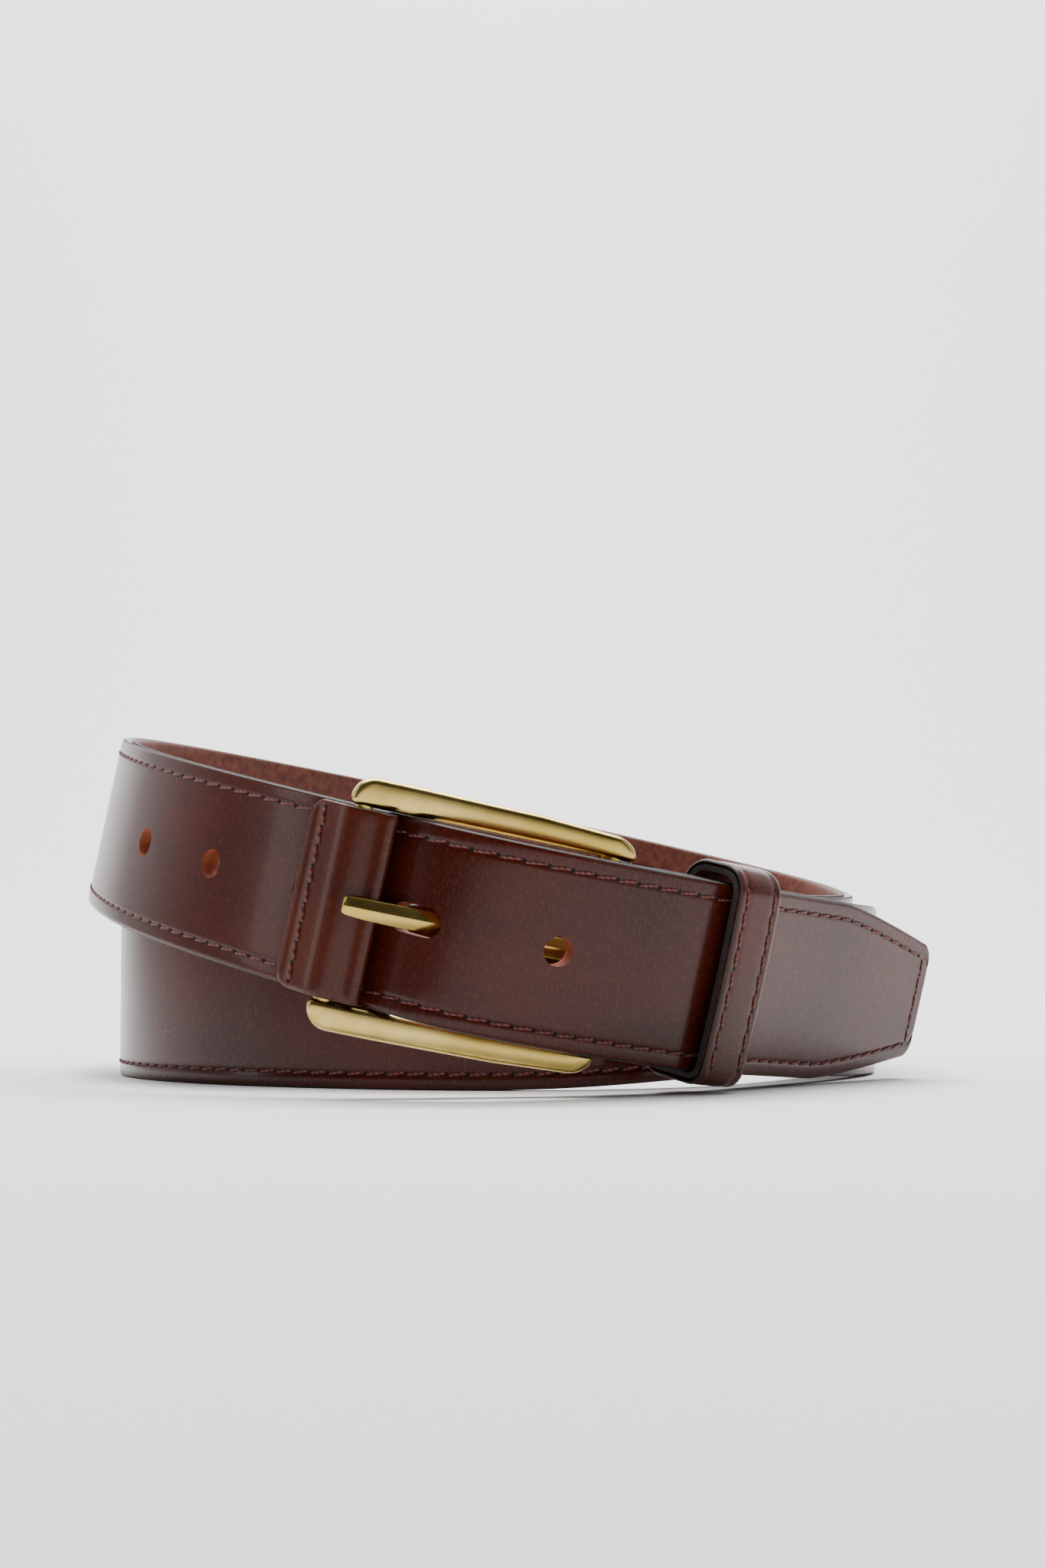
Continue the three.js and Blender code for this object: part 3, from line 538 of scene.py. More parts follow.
# distance in from the edge, and how far the face drops there
SHOULDER = [(0.0, 0.62), (0.1, 0.36), (0.28, 0.16), (0.55, 0.05), (0.95, 0.0)]
SHOULDER_AT = [d for d, _ in SHOULDER]
SHOULDER_DROP = [z for _, z in SHOULDER]
ROW = STRAP_WIDTH / 2 - STITCH_INSET
edge_columns = [STRAP_WIDTH / 2 - d for d in SHOULDER_AT]
row_columns = [ROW + d for d in (1.1, 0.55, 0.3, 0, -0.3, -0.55, -1.1)]
inner_columns = [11.5, 8.5, 5.7, 3.6, 2.0]
half_columns = edge_columns + row_columns + inner_columns
COLUMNS = sorted([-c for c in half_columns] + [0.0] + half_columns)


def pressed(co, groove=0.16):
    """Drops the shoulder of the edge and the shallow crease under the stitches."""
    y = np.abs(co[:, 1])
    inset = STRAP_WIDTH / 2 - y
    drop = np.interp(inset, SHOULDER_AT, SHOULDER_DROP)
    drop += groove * np.exp(-((y - ROW) / 0.42) ** 2)
    co = co.copy()
    co[:, 2] -= drop
    return co


print(len(COLUMNS), "columns across the strap")

# %% [markdown]
# ## Cutting, pressing and punching a strap layer
# The grid is the cut blank. Its edge shoulders are pressed, it gets its
# thickness, and the holes are punched with round and oval cutters while it is
# still flat, so every hole has square walls as a real punch leaves.

# %% Punches
hole_places = [slot_centre + k * HOLE_PITCH for k in (-3, -2, -1, 0, 1)]


def punch(length, slot=0.0):
    bpy.ops.object.select_all(action="DESELECT")
    bpy.ops.mesh.primitive_cylinder_add(vertices=40, radius=HOLE_DIAMETER / 2 * MM, depth=9 * MM)
    tool = bpy.context.object
    co = points_of(tool)
    c, s = math.cos(0.035), math.sin(0.035)     # keeps the cutter's corners off the blank's own rows
    co[:, :2] = co[:, :2] @ np.array([[c, s], [-s, c]])
    co[:, 0] += np.sign(co[:, 0]) * max(0.0, slot - HOLE_DIAMETER) / 2 + length + 0.013
    set_points(tool, co)
    tool.data.materials.append(raw_leather)
    return tool


def cut(piece, tool):
    low, high = points_of(piece)[:, 2].min(), points_of(piece)[:, 2].max()
    apply_modifier(piece, "BOOLEAN", operation="DIFFERENCE", solver="MANIFOLD", object=tool,
                   material_mode="TRANSFER")
    bpy.data.objects.remove(tool, do_unlink=True)
    z = points_of(piece)[:, 2]
    print("cut stays inside the leather:", bool(z.min() > low - 0.01 and z.max() < high + 0.01), len(z))


def write_flat_map(piece):
    """The piece's own map in metres, from its flat place."""
    only(piece)
    layer = piece.data.uv_layers.get("flat") or piece.data.uv_layers.new(name="flat")
    index = np.zeros(len(piece.data.loops), int)
    piece.data.loops.foreach_get("vertex_index", index)
    co = points_of(piece)[index] * MM
    layer.data.foreach_set("uv", np.column_stack([co[:, 0], co[:, 1] + co[:, 2]]).ravel())
    piece.data.uv_layers.active = layer


def paint_edges(piece, skin, edge):
    """The flat blank's upright faces get the edge finish, punched walls keep theirs."""
    slots = [m.name for m in piece.data.materials]
    wall = slots.index(raw_leather.name) if raw_leather.name in slots else -1
    end = points_of(piece)[:, 0].max() - 0.5
    finish = []
    for face in piece.data.polygons:
        upright = abs(face.normal.z) < 0.72
        at_edge = abs(face.center.y) > 8 * MM or face.center.x > end * MM or abs(face.normal.x) > 0.9
        finish.append(2 if face.material_index == wall else 1 if upright and at_edge else 0)
    piece.data.materials.clear()
    for one in (skin, edge, raw_leather):
        piece.data.materials.append(one)
    piece.data.polygons.foreach_set("material_index", finish)


print("holes at", [round(h) for h in hole_places])


# %% The face leather, in two stretches that meet under the keeper
def face_blank(name, lengths):
    piece = blank(name, lengths, COLUMNS)
    set_points(piece, pressed(points_of(piece)))
    thicken(piece, FACE_THICKNESS)
    set_points(piece, fit_outline(points_of(piece)))
    piece.data.materials.append(face_leather)
    return piece


fold_rows = steps(-FOLD_LENGTH - TURN_BACK, -FOLD_LENGTH, 1.6) + steps(-FOLD_LENGTH, 0, 0.3)[1:]
nose_rows = [NOSE_START + TIP_NOSE * math.sin(math.radians(d)) for d in range(6, 91, 6)]
strap = face_blank("strap_face_leather", fold_rows + steps(0, SEAM_AT, 1.5)[1:])
for where in hole_places:
    if where < SEAM_AT:
        cut(strap, punch(where, FASTENED_SLOT if where == slot_centre else 0.0))
bpy.ops.object.select_all(action="DESELECT")
bpy.ops.mesh.primitive_cube_add(size=1)
notch = bpy.context.object
NOTCH_SIZE = [FOLD_LENGTH + 14, PRONG_WIDTH + 1.6, 12]      # lets the prong through the fold
co = points_of(notch) * MM * NOTCH_SIZE + [-FOLD_LENGTH / 2 + 0.5, 0, 0]
set_points(notch, co)
notch.data.materials.append(edge_paint)
cut(strap, notch)
tail = face_blank("tail_face_leather", steps(SEAM_AT, TIP_START, 1.5)
                  + steps(TIP_START, NOSE_START, 1.2)[1:] + nose_rows)
for piece in (strap, tail):
    paint_edges(piece, face_leather, edge_paint)
    write_flat_map(piece)
    bend_along(piece, coil, GLUE_LINE + FACE_THICKNESS)
    smooth(piece)
    print(piece.name, len(piece.data.polygons), "faces")


# %% [markdown]
# ## The lining
# A thinner leather of the same outline, glued behind the face from 8 mm past
# the heel fold to the tip, with the same holes. The fastened hole is longer in
# the lining, because the prong passes through it at a slant.

# %% Lining
def lining_blank(name, lengths):
    piece = blank(name, lengths, [c for c in COLUMNS if abs(abs(c) - ROW) > 0.4])
    thicken(piece, LINING_THICKNESS)
    co = points_of(piece)
    under = co[:, 2] < -0.5
    co[under, 2] += np.interp(STRAP_WIDTH / 2 - np.abs(co[under, 1]), [0, 0.1, 0.28, 0.55, 0.95],
                              [0.5, 0.3, 0.13, 0.04, 0])
    set_points(piece, fit_outline(co))
    piece.data.materials.append(lining_leather)
    return piece


LINING_START = 8
lining = lining_blank("strap_lining_leather", steps(LINING_START, SEAM_AT, 1.8))
for where in hole_places:
    if where < SEAM_AT:
        cut(lining, punch(where, FASTENED_SLOT if where == slot_centre else 0.0))
cut(lining, punch(slot_centre + LINING_RELIEF / 2, FASTENED_SLOT + LINING_RELIEF))
tail_lining = lining_blank("tail_lining_leather", steps(SEAM_AT, NOSE_START, 1.5) + nose_rows)
for piece in (lining, tail_lining):
    paint_edges(piece, lining_leather, edge_paint)
    write_flat_map(piece)
    bend_along(piece, coil, -GLUE_LINE)
    smooth(piece)
    print(piece.name, len(piece.data.polygons), "faces")

# %% [markdown]
# ## The stitches
# A lockstitch shows as short lengths of thread between needle holes. One
# stitch is a small stretched ball, turned a few degrees as the twist of the
# thread turns it. An array repeats it down the row at the machine's pitch, and
# the row is laid on the strap like the leather itself.

# %% One stitch and rows of it
UPPER_PITCH, LOWER_PITCH = 4.35, 3.95
SURFACE = GLUE_LINE + FACE_THICKNESS


STITCH_GAP = 0.35        # the needle hole between two stitches


def stitch(long, wide=0.52, high=0.42, turn=7.0):
    bpy.ops.object.select_all(action="DESELECT")
    bpy.ops.mesh.primitive_uv_sphere_add(segments=10, ring_count=8, radius=0.5)
    piece = bpy.context.object
    co = points_of(piece) * MM
    co = co[:, [2, 0, 1]]                       # poles to the two ends of the stitch
    x = np.clip(co[:, 0] * 2, -1, 1)
    full = (1 - np.abs(x) ** 4) ** 0.25         # blunter than an ellipse, like a short rope
    round_part = np.sqrt(np.maximum(1 - x * x, 1e-9))
    co[:, 1:] *= (full / round_part)[:, None]
    co = co * [long, wide, high]
    co[:, 2] -= 0.22 * np.abs(x) ** 3           # the ends dive to the needle holes
    c, s = math.cos(math.radians(turn)), math.sin(math.radians(turn))
    co[:, :2] = co[:, :2] @ np.array([[c, s], [-s, c]])
    set_points(piece, co)
    return piece


def turned_across(piece):
    set_points(piece, points_of(piece)[:, [1, 0, 2]] * [-1, 1, 1])
    return piece


# a near-black disc just under the face stands for the shade inside a needle hole: painted shade
def needle_shade_disc():
    bpy.ops.object.select_all(action="DESELECT")
    bpy.ops.mesh.primitive_cylinder_add(vertices=10, radius=0.42 * MM, depth=0.3 * MM)
    return bpy.context.object


def repeat(piece, count, offset):
    apply_modifier(piece, "ARRAY", count=count, use_relative_offset=False, use_constant_offset=True,
                   constant_offset_displace=[v * MM for v in offset])


def lay_row(piece, name, path, finish, start_at, y=0.0, z=0.0, outline=True):
    co = points_of(piece) + [start_at, y, z]
    piece.name = piece.data.name = name
    set_points(piece, fit_outline(co) if outline else co)
    piece.data.materials.clear()
    piece.data.materials.append(finish)
    write_flat_map(piece)
    bend_along(piece, path)
    smooth(piece, 60)
    return piece


rows = {}
for edge, side, pitch in (("upper", 1, UPPER_PITCH), ("lower", -1, LOWER_PITCH)):
    for part, low, high in (("strap", 5.0, SEAM_AT), ("tail", SEAM_AT, NOSE_START - 0.2)):
        first = low + pitch / 2 if part == "strap" else rows[edge + "_end"] + pitch
        count = int((high - first - pitch / 2) / pitch) + 1
        threads = stitch(pitch - STITCH_GAP)
        repeat(threads, count, (pitch, 0, 0))
        rows[part, edge] = lay_row(threads, f"{part}_stitches_{edge}", coil, thread, first,
                                   side * ROW, SURFACE + 0.02)
        # a row of painted-shade discs, one in each needle hole
        holes = needle_shade_disc()
        repeat(holes, count, (pitch, 0, 0))
        rows[part, edge, "holes"] = lay_row(holes, f"{part}_needle_shade_discs_{edge}", coil, painted_needle_shade,
                                            first + pitch / 2, side * ROW, SURFACE - 0.2)
        rows[edge + "_end"] = first + (count - 1) * pitch
        print(part, edge, count, "stitches")

# %% The short row across the tip
tip_reach = float(half_width(NOSE_START)) - STITCH_INSET
TIP_PITCH = 3.6
tip_count = int(2 * tip_reach / TIP_PITCH)
tip_row = turned_across(stitch(TIP_PITCH - STITCH_GAP))
repeat(tip_row, tip_count, (0, TIP_PITCH, 0))
tip_row = lay_row(tip_row, "tip_stitches", coil, thread, NOSE_START + 0.4,
                  -(tip_count - 1) * TIP_PITCH / 2, SURFACE + 0.05, outline=False)
# a row of painted-shade discs, one in each needle hole
tip_shade_row = needle_shade_disc()
repeat(tip_shade_row, tip_count - 1, (0, TIP_PITCH, 0))
tip_shade_row = lay_row(tip_shade_row, "tip_needle_shade_discs", coil, painted_needle_shade, NOSE_START + 0.4,
                    -(tip_count - 2) * TIP_PITCH / 2, SURFACE - 0.12, outline=False)
print(tip_count, "stitches across the tip")

# %% [markdown]
# ## The sleeve on the outer bar
# A strip of the same leather is folded round the outer bar and its two ends
# are stitched together, so the bar sits in a loop. The strip's path is a flat
# teardrop: open round the bar, closed beyond it, with a tight fold.

# %% Sleeve path and strip
sleeve_x = math.cos(SLEEVE_TURN) * to_outer_bar - math.sin(SLEEVE_TURN) * buckle_out
sleeve_y = math.sin(SLEEVE_TURN) * to_outer_bar + math.cos(SLEEVE_TURN) * buckle_out
sleeve_z = np.cross(sleeve_x, sleeve_y)
outer_bar = in_buckle(BAR_SPACING, 0)
CLOSED, POCKET = 0.12, OUTER_BAR_RADIUS + 0.2
FOLD_AT = -SLEEVE_FOLD_SIDE + SLEEVE_LEATHER


def pocket_height(x, flap_span=5.0):
    spread = np.clip(np.where(x > 0, x / flap_span, -x / 5.0), 0, 1)
    return CLOSED + (POCKET - CLOSED) * np.cos(math.pi * spread / 2) ** 2


front_x = np.linspace(SLEEVE_FLAP_SIDE, FOLD_AT, 240)
back_x = front_x[::-1]
fold_angle = np.linspace(math.pi / 2, 3 * math.pi / 2, 40)[1:-1]
loop_x = np.concatenate([front_x, FOLD_AT + CLOSED * np.cos(fold_angle), back_x])
loop_y = np.concatenate([pocket_height(front_x, 9.5), CLOSED * np.sin(fold_angle), -pocket_height(back_x)])
loop = outer_bar + loop_x[:, None] * sleeve_x + loop_y[:, None] * sleeve_y
sleeve_path = measured_path(loop, np.tile(sleeve_z, (len(loop), 1)))
SLEEVE_RUN = sleeve_path["length"][-1]
FOLD_MIDDLE = SLEEVE_RUN / 2



def columns_of_strip(half_strip, insets):
    return sorted({side * (half_strip - d) for d in insets for side in (-1, 1)} | {0.0})


half = SLEEVE_LENGTH / 2
TIGHT = 1.2              # closer rows this far to each side of the tight fold
sleeve_rows = (steps(0, FOLD_MIDDLE - TIGHT, 0.5)
               + steps(FOLD_MIDDLE - TIGHT, FOLD_MIDDLE + TIGHT, 0.06)[1:-1]
               + steps(FOLD_MIDDLE + TIGHT, SLEEVE_RUN, 0.5))
sleeve = blank("bar_sleeve_leather", sleeve_rows,
               columns_of_strip(half, SHOULDER_AT + [2.2, 4.5, 8, 12]))
co = points_of(sleeve)
co[:, 2] -= np.interp(half - np.abs(co[:, 1]), SHOULDER_AT, [z * 0.7 for z in SHOULDER_DROP])
end_distance = np.minimum(co[:, 0], SLEEVE_RUN - co[:, 0])
co[:, 2] -= np.interp(end_distance, [0, 0.3, 0.9], [0.35, 0.1, 0])
set_points(sleeve, co)
thicken(sleeve, SLEEVE_LEATHER)
co = points_of(sleeve)
end_distance = np.minimum(co[:, 0], SLEEVE_RUN - co[:, 0])
SLEEVE_CORNER = 3.2
into_corner = np.maximum(SLEEVE_CORNER - end_distance, 0)
round_off = SLEEVE_CORNER - np.sqrt(np.maximum(SLEEVE_CORNER ** 2 - into_corner ** 2, 0))
co[:, 1] *= 1 - round_off / half
set_points(sleeve, co)
sleeve.data.materials.append(sleeve_leather)
paint_edges(sleeve, sleeve_leather, edge_paint)
for face in sleeve.data.polygons:
    if abs(face.normal.x) > 0.8:
        face.material_index = 1
write_flat_map(sleeve)
bend_along(sleeve, sleeve_path, SLEEVE_LEATHER)
smooth(sleeve)
print("sleeve strip", round(SLEEVE_RUN, 1), "x", SLEEVE_LENGTH, "mm")

# %% Heavy stitches along the sleeve's flap
FLAP_STITCHES, FLAP_PITCH, FLAP_AT = 9, 3.55, 3.7
heavy = turned_across(stitch(FLAP_PITCH - 0.3, wide=0.85, high=0.75, turn=10))
repeat(heavy, FLAP_STITCHES, (0, FLAP_PITCH, 0))
flap_start = -(FLAP_STITCHES - 1) * FLAP_PITCH / 2
sleeve_stitches = lay_row(heavy, "sleeve_stitches", sleeve_path, thread, FLAP_AT, flap_start,
                          SLEEVE_LEATHER + 0.15, outline=False)
# a row of painted-shade discs, one in each needle hole
flap_shade_row = needle_shade_disc()
repeat(flap_shade_row, FLAP_STITCHES + 1, (0, FLAP_PITCH, 0))
sleeve_needle_shade_discs = lay_row(flap_shade_row, "sleeve_needle_shade_discs", sleeve_path, painted_needle_shade, FLAP_AT,
                              flap_start - FLAP_PITCH / 2, SLEEVE_LEATHER - 0.1, outline=False)
print(FLAP_STITCHES, "heavy stitches")

# %% [markdown]
# ## The keeper
# A loose loop of two thin leathers that holds the tail against the strap. Its
# path is a rounded rectangle round everything it holds. The strip starts and
# ends at the middle of the back wall, where the seam of such a loop usually is.

# %% Keeper path
TOP_CORNER, BOTTOM_CORNER = 3.0, 1.6
BACK_ROOM = 0.25         # keeps the back wall clear of the strap as the keeper slides
FRONT_BOW = 0.35
middle = {k: sample(coil, np.array([KEEPER_AT]), k)[0] for k in ("place", "out", "across")}
travel = np.cross(middle["across"], middle["out"])


def rounded_rectangle(x0, x1, y0, y1, r_top, r_bottom):
    """Points (outward, across) from the back wall's middle, up and over to the front."""
    out = [(x0, (y0 + y1) / 2)]
    for cx, cy, begin, r in ((x0 + r_top, y1 - r_top, 180, r_top),
                             (x1 - r_top, y1 - r_top, 90, r_top),
                             (x1 - r_bottom, y0 + r_bottom, 0, r_bottom),
                             (x0 + r_bottom, y0 + r_bottom, -90, r_bottom)):
        for turn in np.linspace(0, 90, 14):
            angle = math.radians(begin - turn)
            out.append((cx + r * math.cos(angle), cy + r * math.sin(angle)))
    out.append(out[0])
    out = np.array(out)
    fine = np.concatenate([[0], np.cumsum(np.linalg.norm(np.diff(out, axis=0), axis=1))])
    every = np.arange(0, fine[-1], 0.1)
    return np.column_stack([np.interp(every, fine, out[:, 0]), np.interp(every, fine, out[:, 1])])


def keeper_path(grow):
    ring = rounded_rectangle(KEEPER_IN - BACK_ROOM - grow, KEEPER_OUT + grow, KEEPER_BOTTOM - grow,
                             KEEPER_TOP + grow, TOP_CORNER + grow, BOTTOM_CORNER + grow)
    height = (ring[:, 1] - KEEPER_BOTTOM) / (KEEPER_TOP - KEEPER_BOTTOM)
    bow = FRONT_BOW * np.clip(np.sin(height * math.pi), 0, 1)
    ring[:, 0] += np.where(ring[:, 0] > (KEEPER_IN + KEEPER_OUT) / 2, bow, 0)
    points = middle["place"] + ring[:, :1] * middle["out"] + ring[:, 1:] * middle["across"]
    return measured_path(points, np.tile(travel, (len(points), 1)))


# %% Keeper layers and stitches
KEEPER_LAYER = 1.02
KEEPER_ROW_INSET = 2.0
keeper = {}
half = KEEPER_WIDTH / 2
keeper_columns = columns_of_strip(half, SHOULDER_AT + [1.5, 2.0, 2.5, 4])
for name, grow, skin in (("keeper_lining_leather", 0.0, lining_leather),
                         ("keeper_face_leather", KEEPER_LAYER + 0.04, face_leather)):
    path = keeper_path(grow)
    run = path["length"][-1]
    piece = blank(name, steps(0.02, run - 0.02, 0.45), keeper_columns)
    co = points_of(piece)
    if grow:
        inset = half - np.abs(co[:, 1])
        co[:, 2] -= np.interp(inset, SHOULDER_AT, [z * 0.8 for z in SHOULDER_DROP])
        co[:, 2] -= 0.14 * np.exp(-((inset - KEEPER_ROW_INSET) / 0.42) ** 2)
    set_points(piece, co)
    thicken(piece, KEEPER_LAYER)
    piece.data.materials.append(skin)
    piece.data.materials.append(edge_paint)
    for face in piece.data.polygons:
        at_edge = abs(face.normal.z) < 0.8 and abs(face.center.y) > (half - 0.3) * MM
        face.material_index = 1 if at_edge else 0
    write_flat_map(piece)
    bend_along(piece, path, KEEPER_LAYER)
    smooth(piece)
    keeper[name] = piece
    keeper_run, outer_path = run, path
KEEPER_PITCH, KEEPER_STITCHES = 3.7, 9
front_start = keeper_run / 2 - 15.5
for side in (-1, 1):
    row = stitch(KEEPER_PITCH - STITCH_GAP)
    repeat(row, KEEPER_STITCHES, (KEEPER_PITCH, 0, 0))
    name = "keeper_stitches_near" if side < 0 else "keeper_stitches_far"
    row_at = side * (half - KEEPER_ROW_INSET)
    keeper[name] = lay_row(row, name, outer_path, thread, front_start, row_at,
                           KEEPER_LAYER + 0.02, outline=False)
    # a row of painted-shade discs, one in each needle hole
    shade_dots = needle_shade_disc()
    repeat(shade_dots, KEEPER_STITCHES + 1, (KEEPER_PITCH, 0, 0))
    keeper[name + "_holes"] = lay_row(shade_dots, name + "_holes", outer_path, painted_needle_shade,
                                      front_start - KEEPER_PITCH / 2, row_at,
                                      KEEPER_LAYER - 0.2, outline=False)
print("keeper strip", round(keeper_run), "mm round")

# %% [markdown]
# ## The buckle frame
# One brass casting: two rails joined by the heel bar and the outer bar. Each
# rail starts as a box with many cuts along it, so that it can be bowed. Its
# outer corners are rounded first with a wide bevel and every edge after that
# with a narrow one, as filing and tumbling would leave it.

# %% A rail
RAIL_FROM, RAIL_TO, CAST_WIDTH = -4.0, BAR_SPACING + 2.6, 5.3
RAIL_CORNER, RAIL_EDGE = 4.1, 1.95       # radii of the outer corners and of every edge
RAIL_BOW, CROWN_HEIGHT = 0.4, 0.5


def rail(side):
    bpy.ops.object.select_all(action="DESELECT")
    bpy.ops.mesh.primitive_cube_add(size=1)
    piece = bpy.context.object
    inner_c = side * (FRAME_WINDOW / 2 - 0.2)
    outer_c = inner_c + side * CAST_WIDTH
    co = points_of(piece) * MM * [RAIL_TO - RAIL_FROM, CAST_WIDTH, RAIL_DEPTH]
    set_points(piece, co + [(RAIL_TO + RAIL_FROM) / 2, (inner_c + outer_c) / 2, 0])
    bpy.ops.object.mode_set(mode="EDIT")
    bpy.ops.mesh.select_mode(type="EDGE")
    bpy.ops.mesh.select_all(action="DESELECT")
    bpy.ops.object.mode_set(mode="OBJECT")
    for edge in piece.data.edges:
        a, b = (piece.data.vertices[v].co / MM for v in edge.vertices)
        edge.select = abs(a.z - b.z) > 1 and abs(a.y - outer_c) < 0.1
    bpy.ops.object.mode_set(mode="EDIT")
    bpy.ops.mesh.bevel(offset=RAIL_CORNER * MM, segments=9, profile=0.5)
    bpy.ops.mesh.select_all(action="DESELECT")
    bpy.ops.object.mode_set(mode="OBJECT")
    for edge in piece.data.edges:
        a, b = (piece.data.vertices[v].co / MM for v in edge.vertices)
        edge.select = abs(a.x - b.x) > 30
    bpy.ops.object.mode_set(mode="EDIT")
    bpy.ops.mesh.subdivide(number_cuts=24)
    bpy.ops.object.mode_set(mode="OBJECT")
    apply_modifier(piece, "BEVEL", width=RAIL_EDGE * MM, segments=8, limit_method="ANGLE",
                   angle_limit=math.radians(50), profile=0.5)
    co = points_of(piece)
    part = (co[:, 0] - (RAIL_TO + RAIL_FROM) / 2) / ((RAIL_TO - RAIL_FROM) / 2)
    from_outer = (outer_c - co[:, 1]) * side
    slim = np.interp(co[:, 0], [RAIL_FROM, 14, 36], [0.74, 0.94, 1.0])   # narrower at the heel
    co[:, 1] = inner_c + (co[:, 1] - inner_c) * slim
    co[:, 2] += RAIL_BOW * (1 - part ** 2)                  # bowed to the body
    crown = np.exp(-((from_outer - 3.1) / 1.1) ** 2)        # soft ridge nearer the strap
    co[:, 2] += np.where(co[:, 2] > 0.8, CROWN_HEIGHT * crown * (1 - np.abs(part) ** 4), 0)
    set_points(piece, co)
    return piece


def bar(a, radius, name):
    bpy.ops.object.select_all(action="DESELECT")
    bpy.ops.mesh.primitive_cylinder_add(vertices=40, radius=radius * MM, depth=(FRAME_WINDOW + 5) * MM)
    piece = bpy.context.object
    piece.name = name
    set_points(piece, points_of(piece)[:, [0, 2, 1]] * [1, 1, -1] + [a, 0, 0])
    return piece


def place_in_buckle(piece):
    co = points_of(piece)
    across = np.cross(buckle_out, to_outer_bar)
    set_points(piece, PART_SHIFT + heel_centre + co[:, :1] * to_outer_bar
               + co[:, 1:2] * across + co[:, 2:] * buckle_out)


buckle_frame = rail(1)
buckle_frame.name = buckle_frame.data.name = "buckle_frame_casting"
for other in (rail(-1), bar(0, HEEL_BAR_RADIUS, "heel_bar"),
              bar(BAR_SPACING, OUTER_BAR_RADIUS, "outer_bar")):
    apply_modifier(buckle_frame, "BOOLEAN", operation="UNION", solver="MANIFOLD", object=other)
    bpy.data.objects.remove(other, do_unlink=True)
buckle_frame.data.materials.clear()
buckle_frame.data.materials.append(brass)
place_in_buckle(buckle_frame)
smooth(buckle_frame, 40)
print("frame", len(buckle_frame.data.polygons), "faces")

# %% [markdown]
# ## The prong
# A bar of brass bent round the heel bar at one end. Its face has two facets
# that meet in a ridge and its end is chiselled. It is shaped flat, like the
# leather, and then bent along its own path.

# %% Prong
# from the heel bar to the tip, in the buckle's own directions
PRONG_LINE = np.array([(3, 2.35), (7, 2.8), (12, 3.2), (18, 3.6), (25, 4.2), (30, 4.8), (34.5, 5.4),
                       (38.5, 5.75), (42, 5.5), (44.7, 4.9), (46, 4.45)])
CURL_RADIUS, CURL_TURN = 2.25, math.radians(250)
curl = np.linspace(CURL_TURN, 0, 90)
curl_points = np.column_stack([-CURL_RADIUS * np.sin(curl), CURL_RADIUS * np.cos(curl)])
prong_points = np.vstack([curl_points[-1:], PRONG_LINE])
knot = np.concatenate([[0], np.cumsum(np.linalg.norm(np.diff(prong_points, axis=0), axis=1))])
line = natural_spline(knot, prong_points, np.linspace(0, knot[-1], 400))
flat = np.vstack([curl_points[:-1], line])
points = heel_centre + flat[:, :1] * to_outer_bar + flat[:, 1:] * buckle_out
prong_path = measured_path(points, np.tile(-along_bars, (len(points), 1)))
run = prong_path["length"][-1]
curl_run = CURL_RADIUS * CURL_TURN
CHISEL_FROM = run - 6
prong_rows = (steps(0, curl_run, 0.35) + steps(curl_run, CHISEL_FROM, 1.0)[1:]
              + steps(CHISEL_FROM, run, 0.3)[1:])
prong = blank("prong_brass", prong_rows, [-1, -0.86, -0.5, -0.12, 0, 0.12, 0.5, 0.86, 1])
co = points_of(prong)
left = run - co[:, 0]
tip = np.interp(left, [0, 0.35, 1.2, 4.0, 9.0], [0.62, 0.78, 0.86, 0.95, 1.0])
thick = np.interp(left, [0, 0.25, 1.6, 5, 12], [0.55, 0.9, 1.45, 1.85, 2.05])
thick = np.where(co[:, 0] < curl_run, np.interp(co[:, 0], [0, 2, curl_run], [1.3, 2.0, 2.05]), thick)
v = np.abs(co[:, 1])
ridge = np.interp(v, [0, 0.12, 0.5, 0.86, 1], [1.0, 0.985, 0.84, 0.70, 0.58])
set_points(prong, np.column_stack([co[:, 0], co[:, 1] * PRONG_WIDTH / 2 * tip, thick * ridge]))
apply_modifier(prong, "SOLIDIFY", thickness=0.5 * MM, offset=-1)
co = points_of(prong)
n = len(co) // 2
co[n:, 2] = np.where(np.abs(co[n:, 1]) > 0.8 * PRONG_WIDTH / 2 * 0.9, 0.12, 0.0)
set_points(prong, co)
prong.data.materials.append(brass)
bend_along(prong, prong_path)
smooth(prong, 28)
print("prong", round(run, 1), "mm of bar")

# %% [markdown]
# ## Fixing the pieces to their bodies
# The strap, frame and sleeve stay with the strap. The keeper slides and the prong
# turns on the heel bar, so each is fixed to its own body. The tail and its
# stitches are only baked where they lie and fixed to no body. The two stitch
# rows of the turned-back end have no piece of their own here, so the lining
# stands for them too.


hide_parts("strap_face")
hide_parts("tail_end_face")
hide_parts("strap_lining", "turn_back_stitching_near", "turn_back_stitching_far")
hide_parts("tail_end_lining")
for edge in ("upper", "lower"):
    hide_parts(f"edge_stitching_{edge}")
    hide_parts(f"tail_end_stitching_{edge}")
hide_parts("tail_end_stitching_tip")
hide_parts("bar_sleeve")
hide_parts("sleeve_stitching")
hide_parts("keeper_face")
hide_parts("keeper_lining")
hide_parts("keeper_stitching_near")
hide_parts("keeper_stitching_far")
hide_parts("buckle_frame")
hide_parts("prong")

strap_rows = [rows[k] for k in rows if k[0] == "strap"]
tail_rows = [rows[k] for k in rows if k[0] == "tail"] + [tip_row, tip_shade_row]
for piece in [strap, lining, sleeve, sleeve_stitches, sleeve_needle_shade_discs, buckle_frame] + strap_rows:
    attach(piece, "strap")
for piece in keeper.values():
    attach(piece, "keeper")
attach(prong, "prong")
for piece in [tail, tail_lining] + tail_rows:
    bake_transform(piece)
for piece in bpy.data.objects:
    if piece.type != "MESH" or not piece.data.materials:
        continue
print("pieces placed")

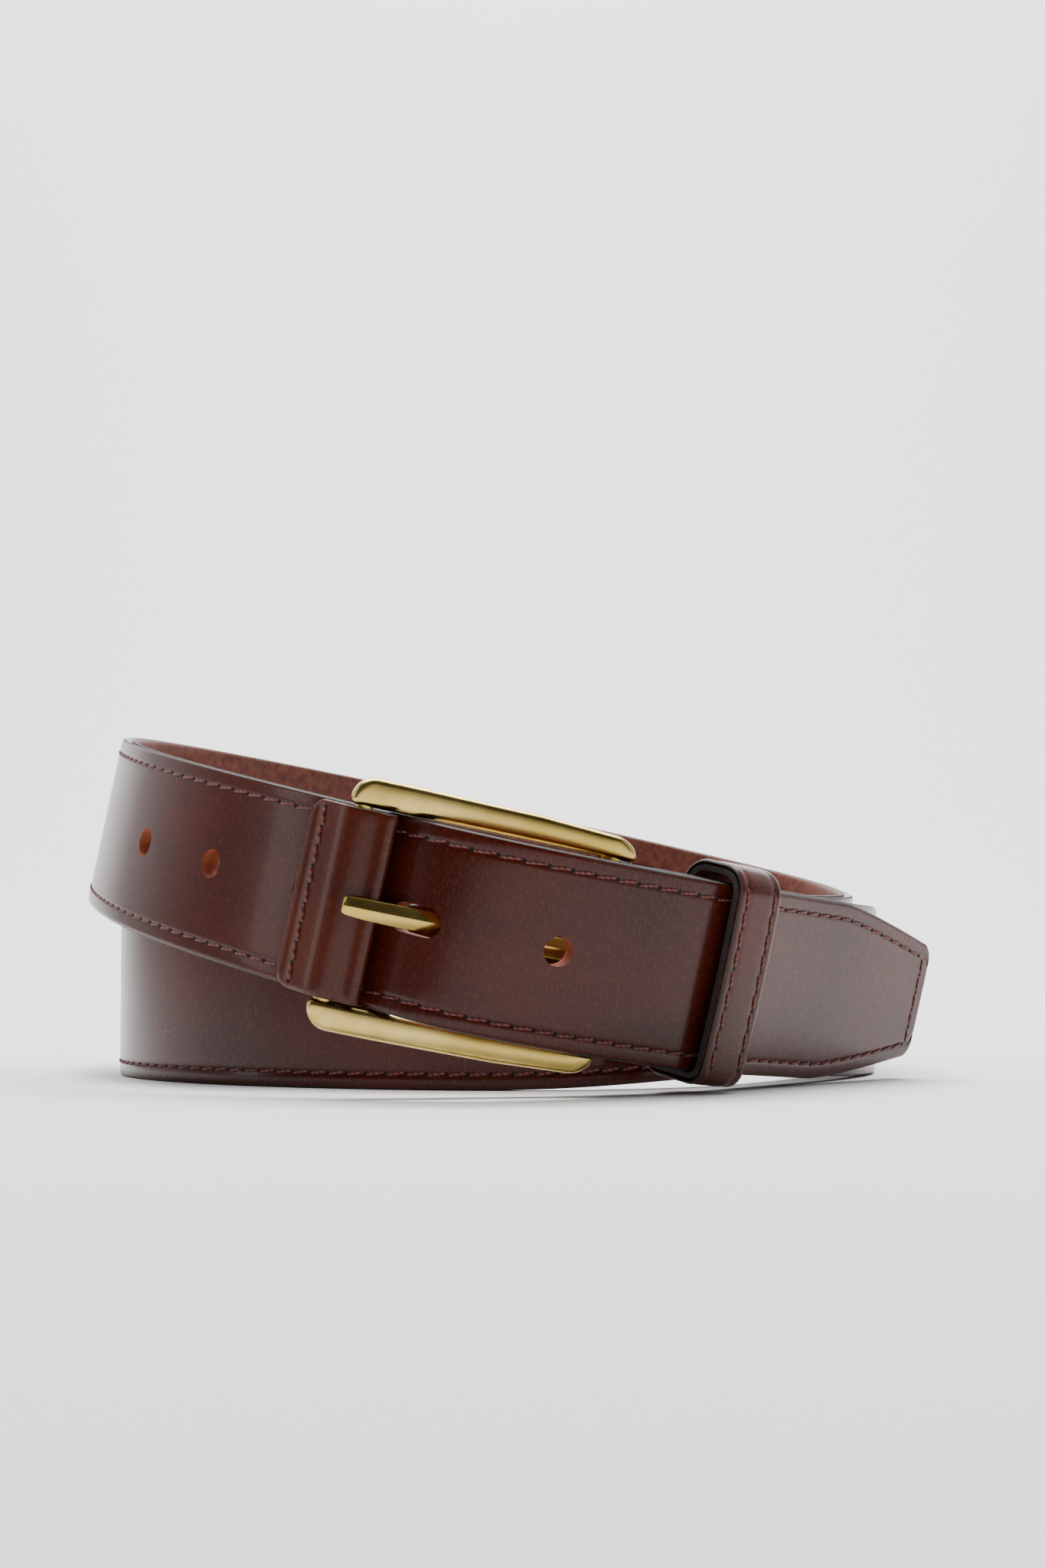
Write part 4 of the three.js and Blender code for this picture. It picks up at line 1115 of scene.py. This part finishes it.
# %% [markdown]
# ## The studio
# A pale sweep with a rounded corner has no visible horizon. A large soft light
# overhead and two weak ones, right and left of the camera, give the long soft
# reflections that polished leather needs, and a fourth lights the backdrop.

# %% Floor and backdrop in one sweep
bpy.ops.object.select_all(action="DESELECT")
SWEEP_SIZE, SWEEP_CORNER = 6, 1.2        # metres
bpy.ops.mesh.primitive_plane_add(size=SWEEP_SIZE, location=(0, 0, 0))
sweep = bpy.context.object
sweep.name = sweep.data.name = "studio_sweep"


def at_back(vertex):
    return sweep.data.vertices[vertex].co.y > 2.9


bpy.ops.object.mode_set(mode="EDIT")
bpy.ops.mesh.select_all(action="DESELECT")
bpy.ops.object.mode_set(mode="OBJECT")
for edge in sweep.data.edges:
    edge.select = all(at_back(v) for v in edge.vertices)
bpy.ops.object.mode_set(mode="EDIT")
bpy.ops.mesh.extrude_region_move(TRANSFORM_OT_translate={"value": (0, 0, 4)})
bpy.ops.object.mode_set(mode="OBJECT")
for edge in sweep.data.edges:
    edge.select = all(at_back(v) and sweep.data.vertices[v].co.z < 0.1 for v in edge.vertices)
bpy.ops.object.mode_set(mode="EDIT")
bpy.ops.mesh.bevel(offset=SWEEP_CORNER, segments=24, profile=0.5)
bpy.ops.object.mode_set(mode="OBJECT")
smooth(sweep, 60)
paper = material("White studio paper", Base_Color=linear(0xE9E9E9), Roughness=0.9, IOR=1.45)
sweep.data.materials.append(paper)
print("sweep ready")


# %% Lights, world and camera
def soft_light(name, place, target, width, height, power):
    bpy.ops.object.select_all(action="DESELECT")
    bpy.ops.object.light_add(type="AREA", location=place)
    lamp = bpy.context.object
    lamp.name = name
    lamp.data.shape = "RECTANGLE"
    lamp.data.size, lamp.data.size_y = width, height
    lamp.data.energy = power
    lamp.rotation_euler = (Vector(target) - Vector(place)).to_track_quat("-Z", "Y").to_euler()


soft_light("overhead softbox", (0.0, 0.15, 1.25), (0, 0, 0), 1.2, 1.0, 29)
soft_light("right softbox", (1.15, -0.55, 0.55), (0, 0, 0.03), 0.7, 1.0, 2.0)
soft_light("left strip", (-1.2, -0.25, 0.5), (0, 0, 0.03), 0.2, 0.9, 2)
soft_light("backdrop light", (0, 1.2, 2.6), (0, 3.0, 0.4), 3.0, 0.8, 230)
# the room is bright behind the belt and overhead and dim behind the camera
world = bpy.data.worlds.new("studio air")
bpy.context.scene.world = world
world.use_nodes = True
air = world.node_tree
direction = air.nodes.new("ShaderNodeTexCoord")
split = air.nodes.new("ShaderNodeSeparateXYZ")
fade = air.nodes.new("ShaderNodeMapRange")
fade.inputs["From Min"].default_value, fade.inputs["From Max"].default_value = -0.12, 0.5
fade.inputs["To Min"].default_value, fade.inputs["To Max"].default_value = 0.07, 1.2
air.links.new(direction.outputs["Generated"], split.inputs[0])
air.links.new(split.outputs["Y"], fade.inputs["Value"])
air.links.new(fade.outputs["Result"], air.nodes["Background"].inputs["Strength"])
air.nodes["Background"].inputs["Color"].default_value = (0.95, 0.96, 0.97, 1)

CAMERA_AT, CAMERA_LOOKS_UP, CAMERA_LENS = (5.05, -591.4, 26.5), 3.43, 63.3
bpy.ops.object.camera_add(location=Vector(CAMERA_AT) * MM,
                          rotation=(math.radians(90 + CAMERA_LOOKS_UP), 0, 0))
camera = bpy.context.object
camera.data.lens = CAMERA_LENS
camera.data.sensor_width = 36
camera.data.clip_start = 0.01
bpy.context.scene.camera = camera
print("camera lens", camera.data.lens, "mm")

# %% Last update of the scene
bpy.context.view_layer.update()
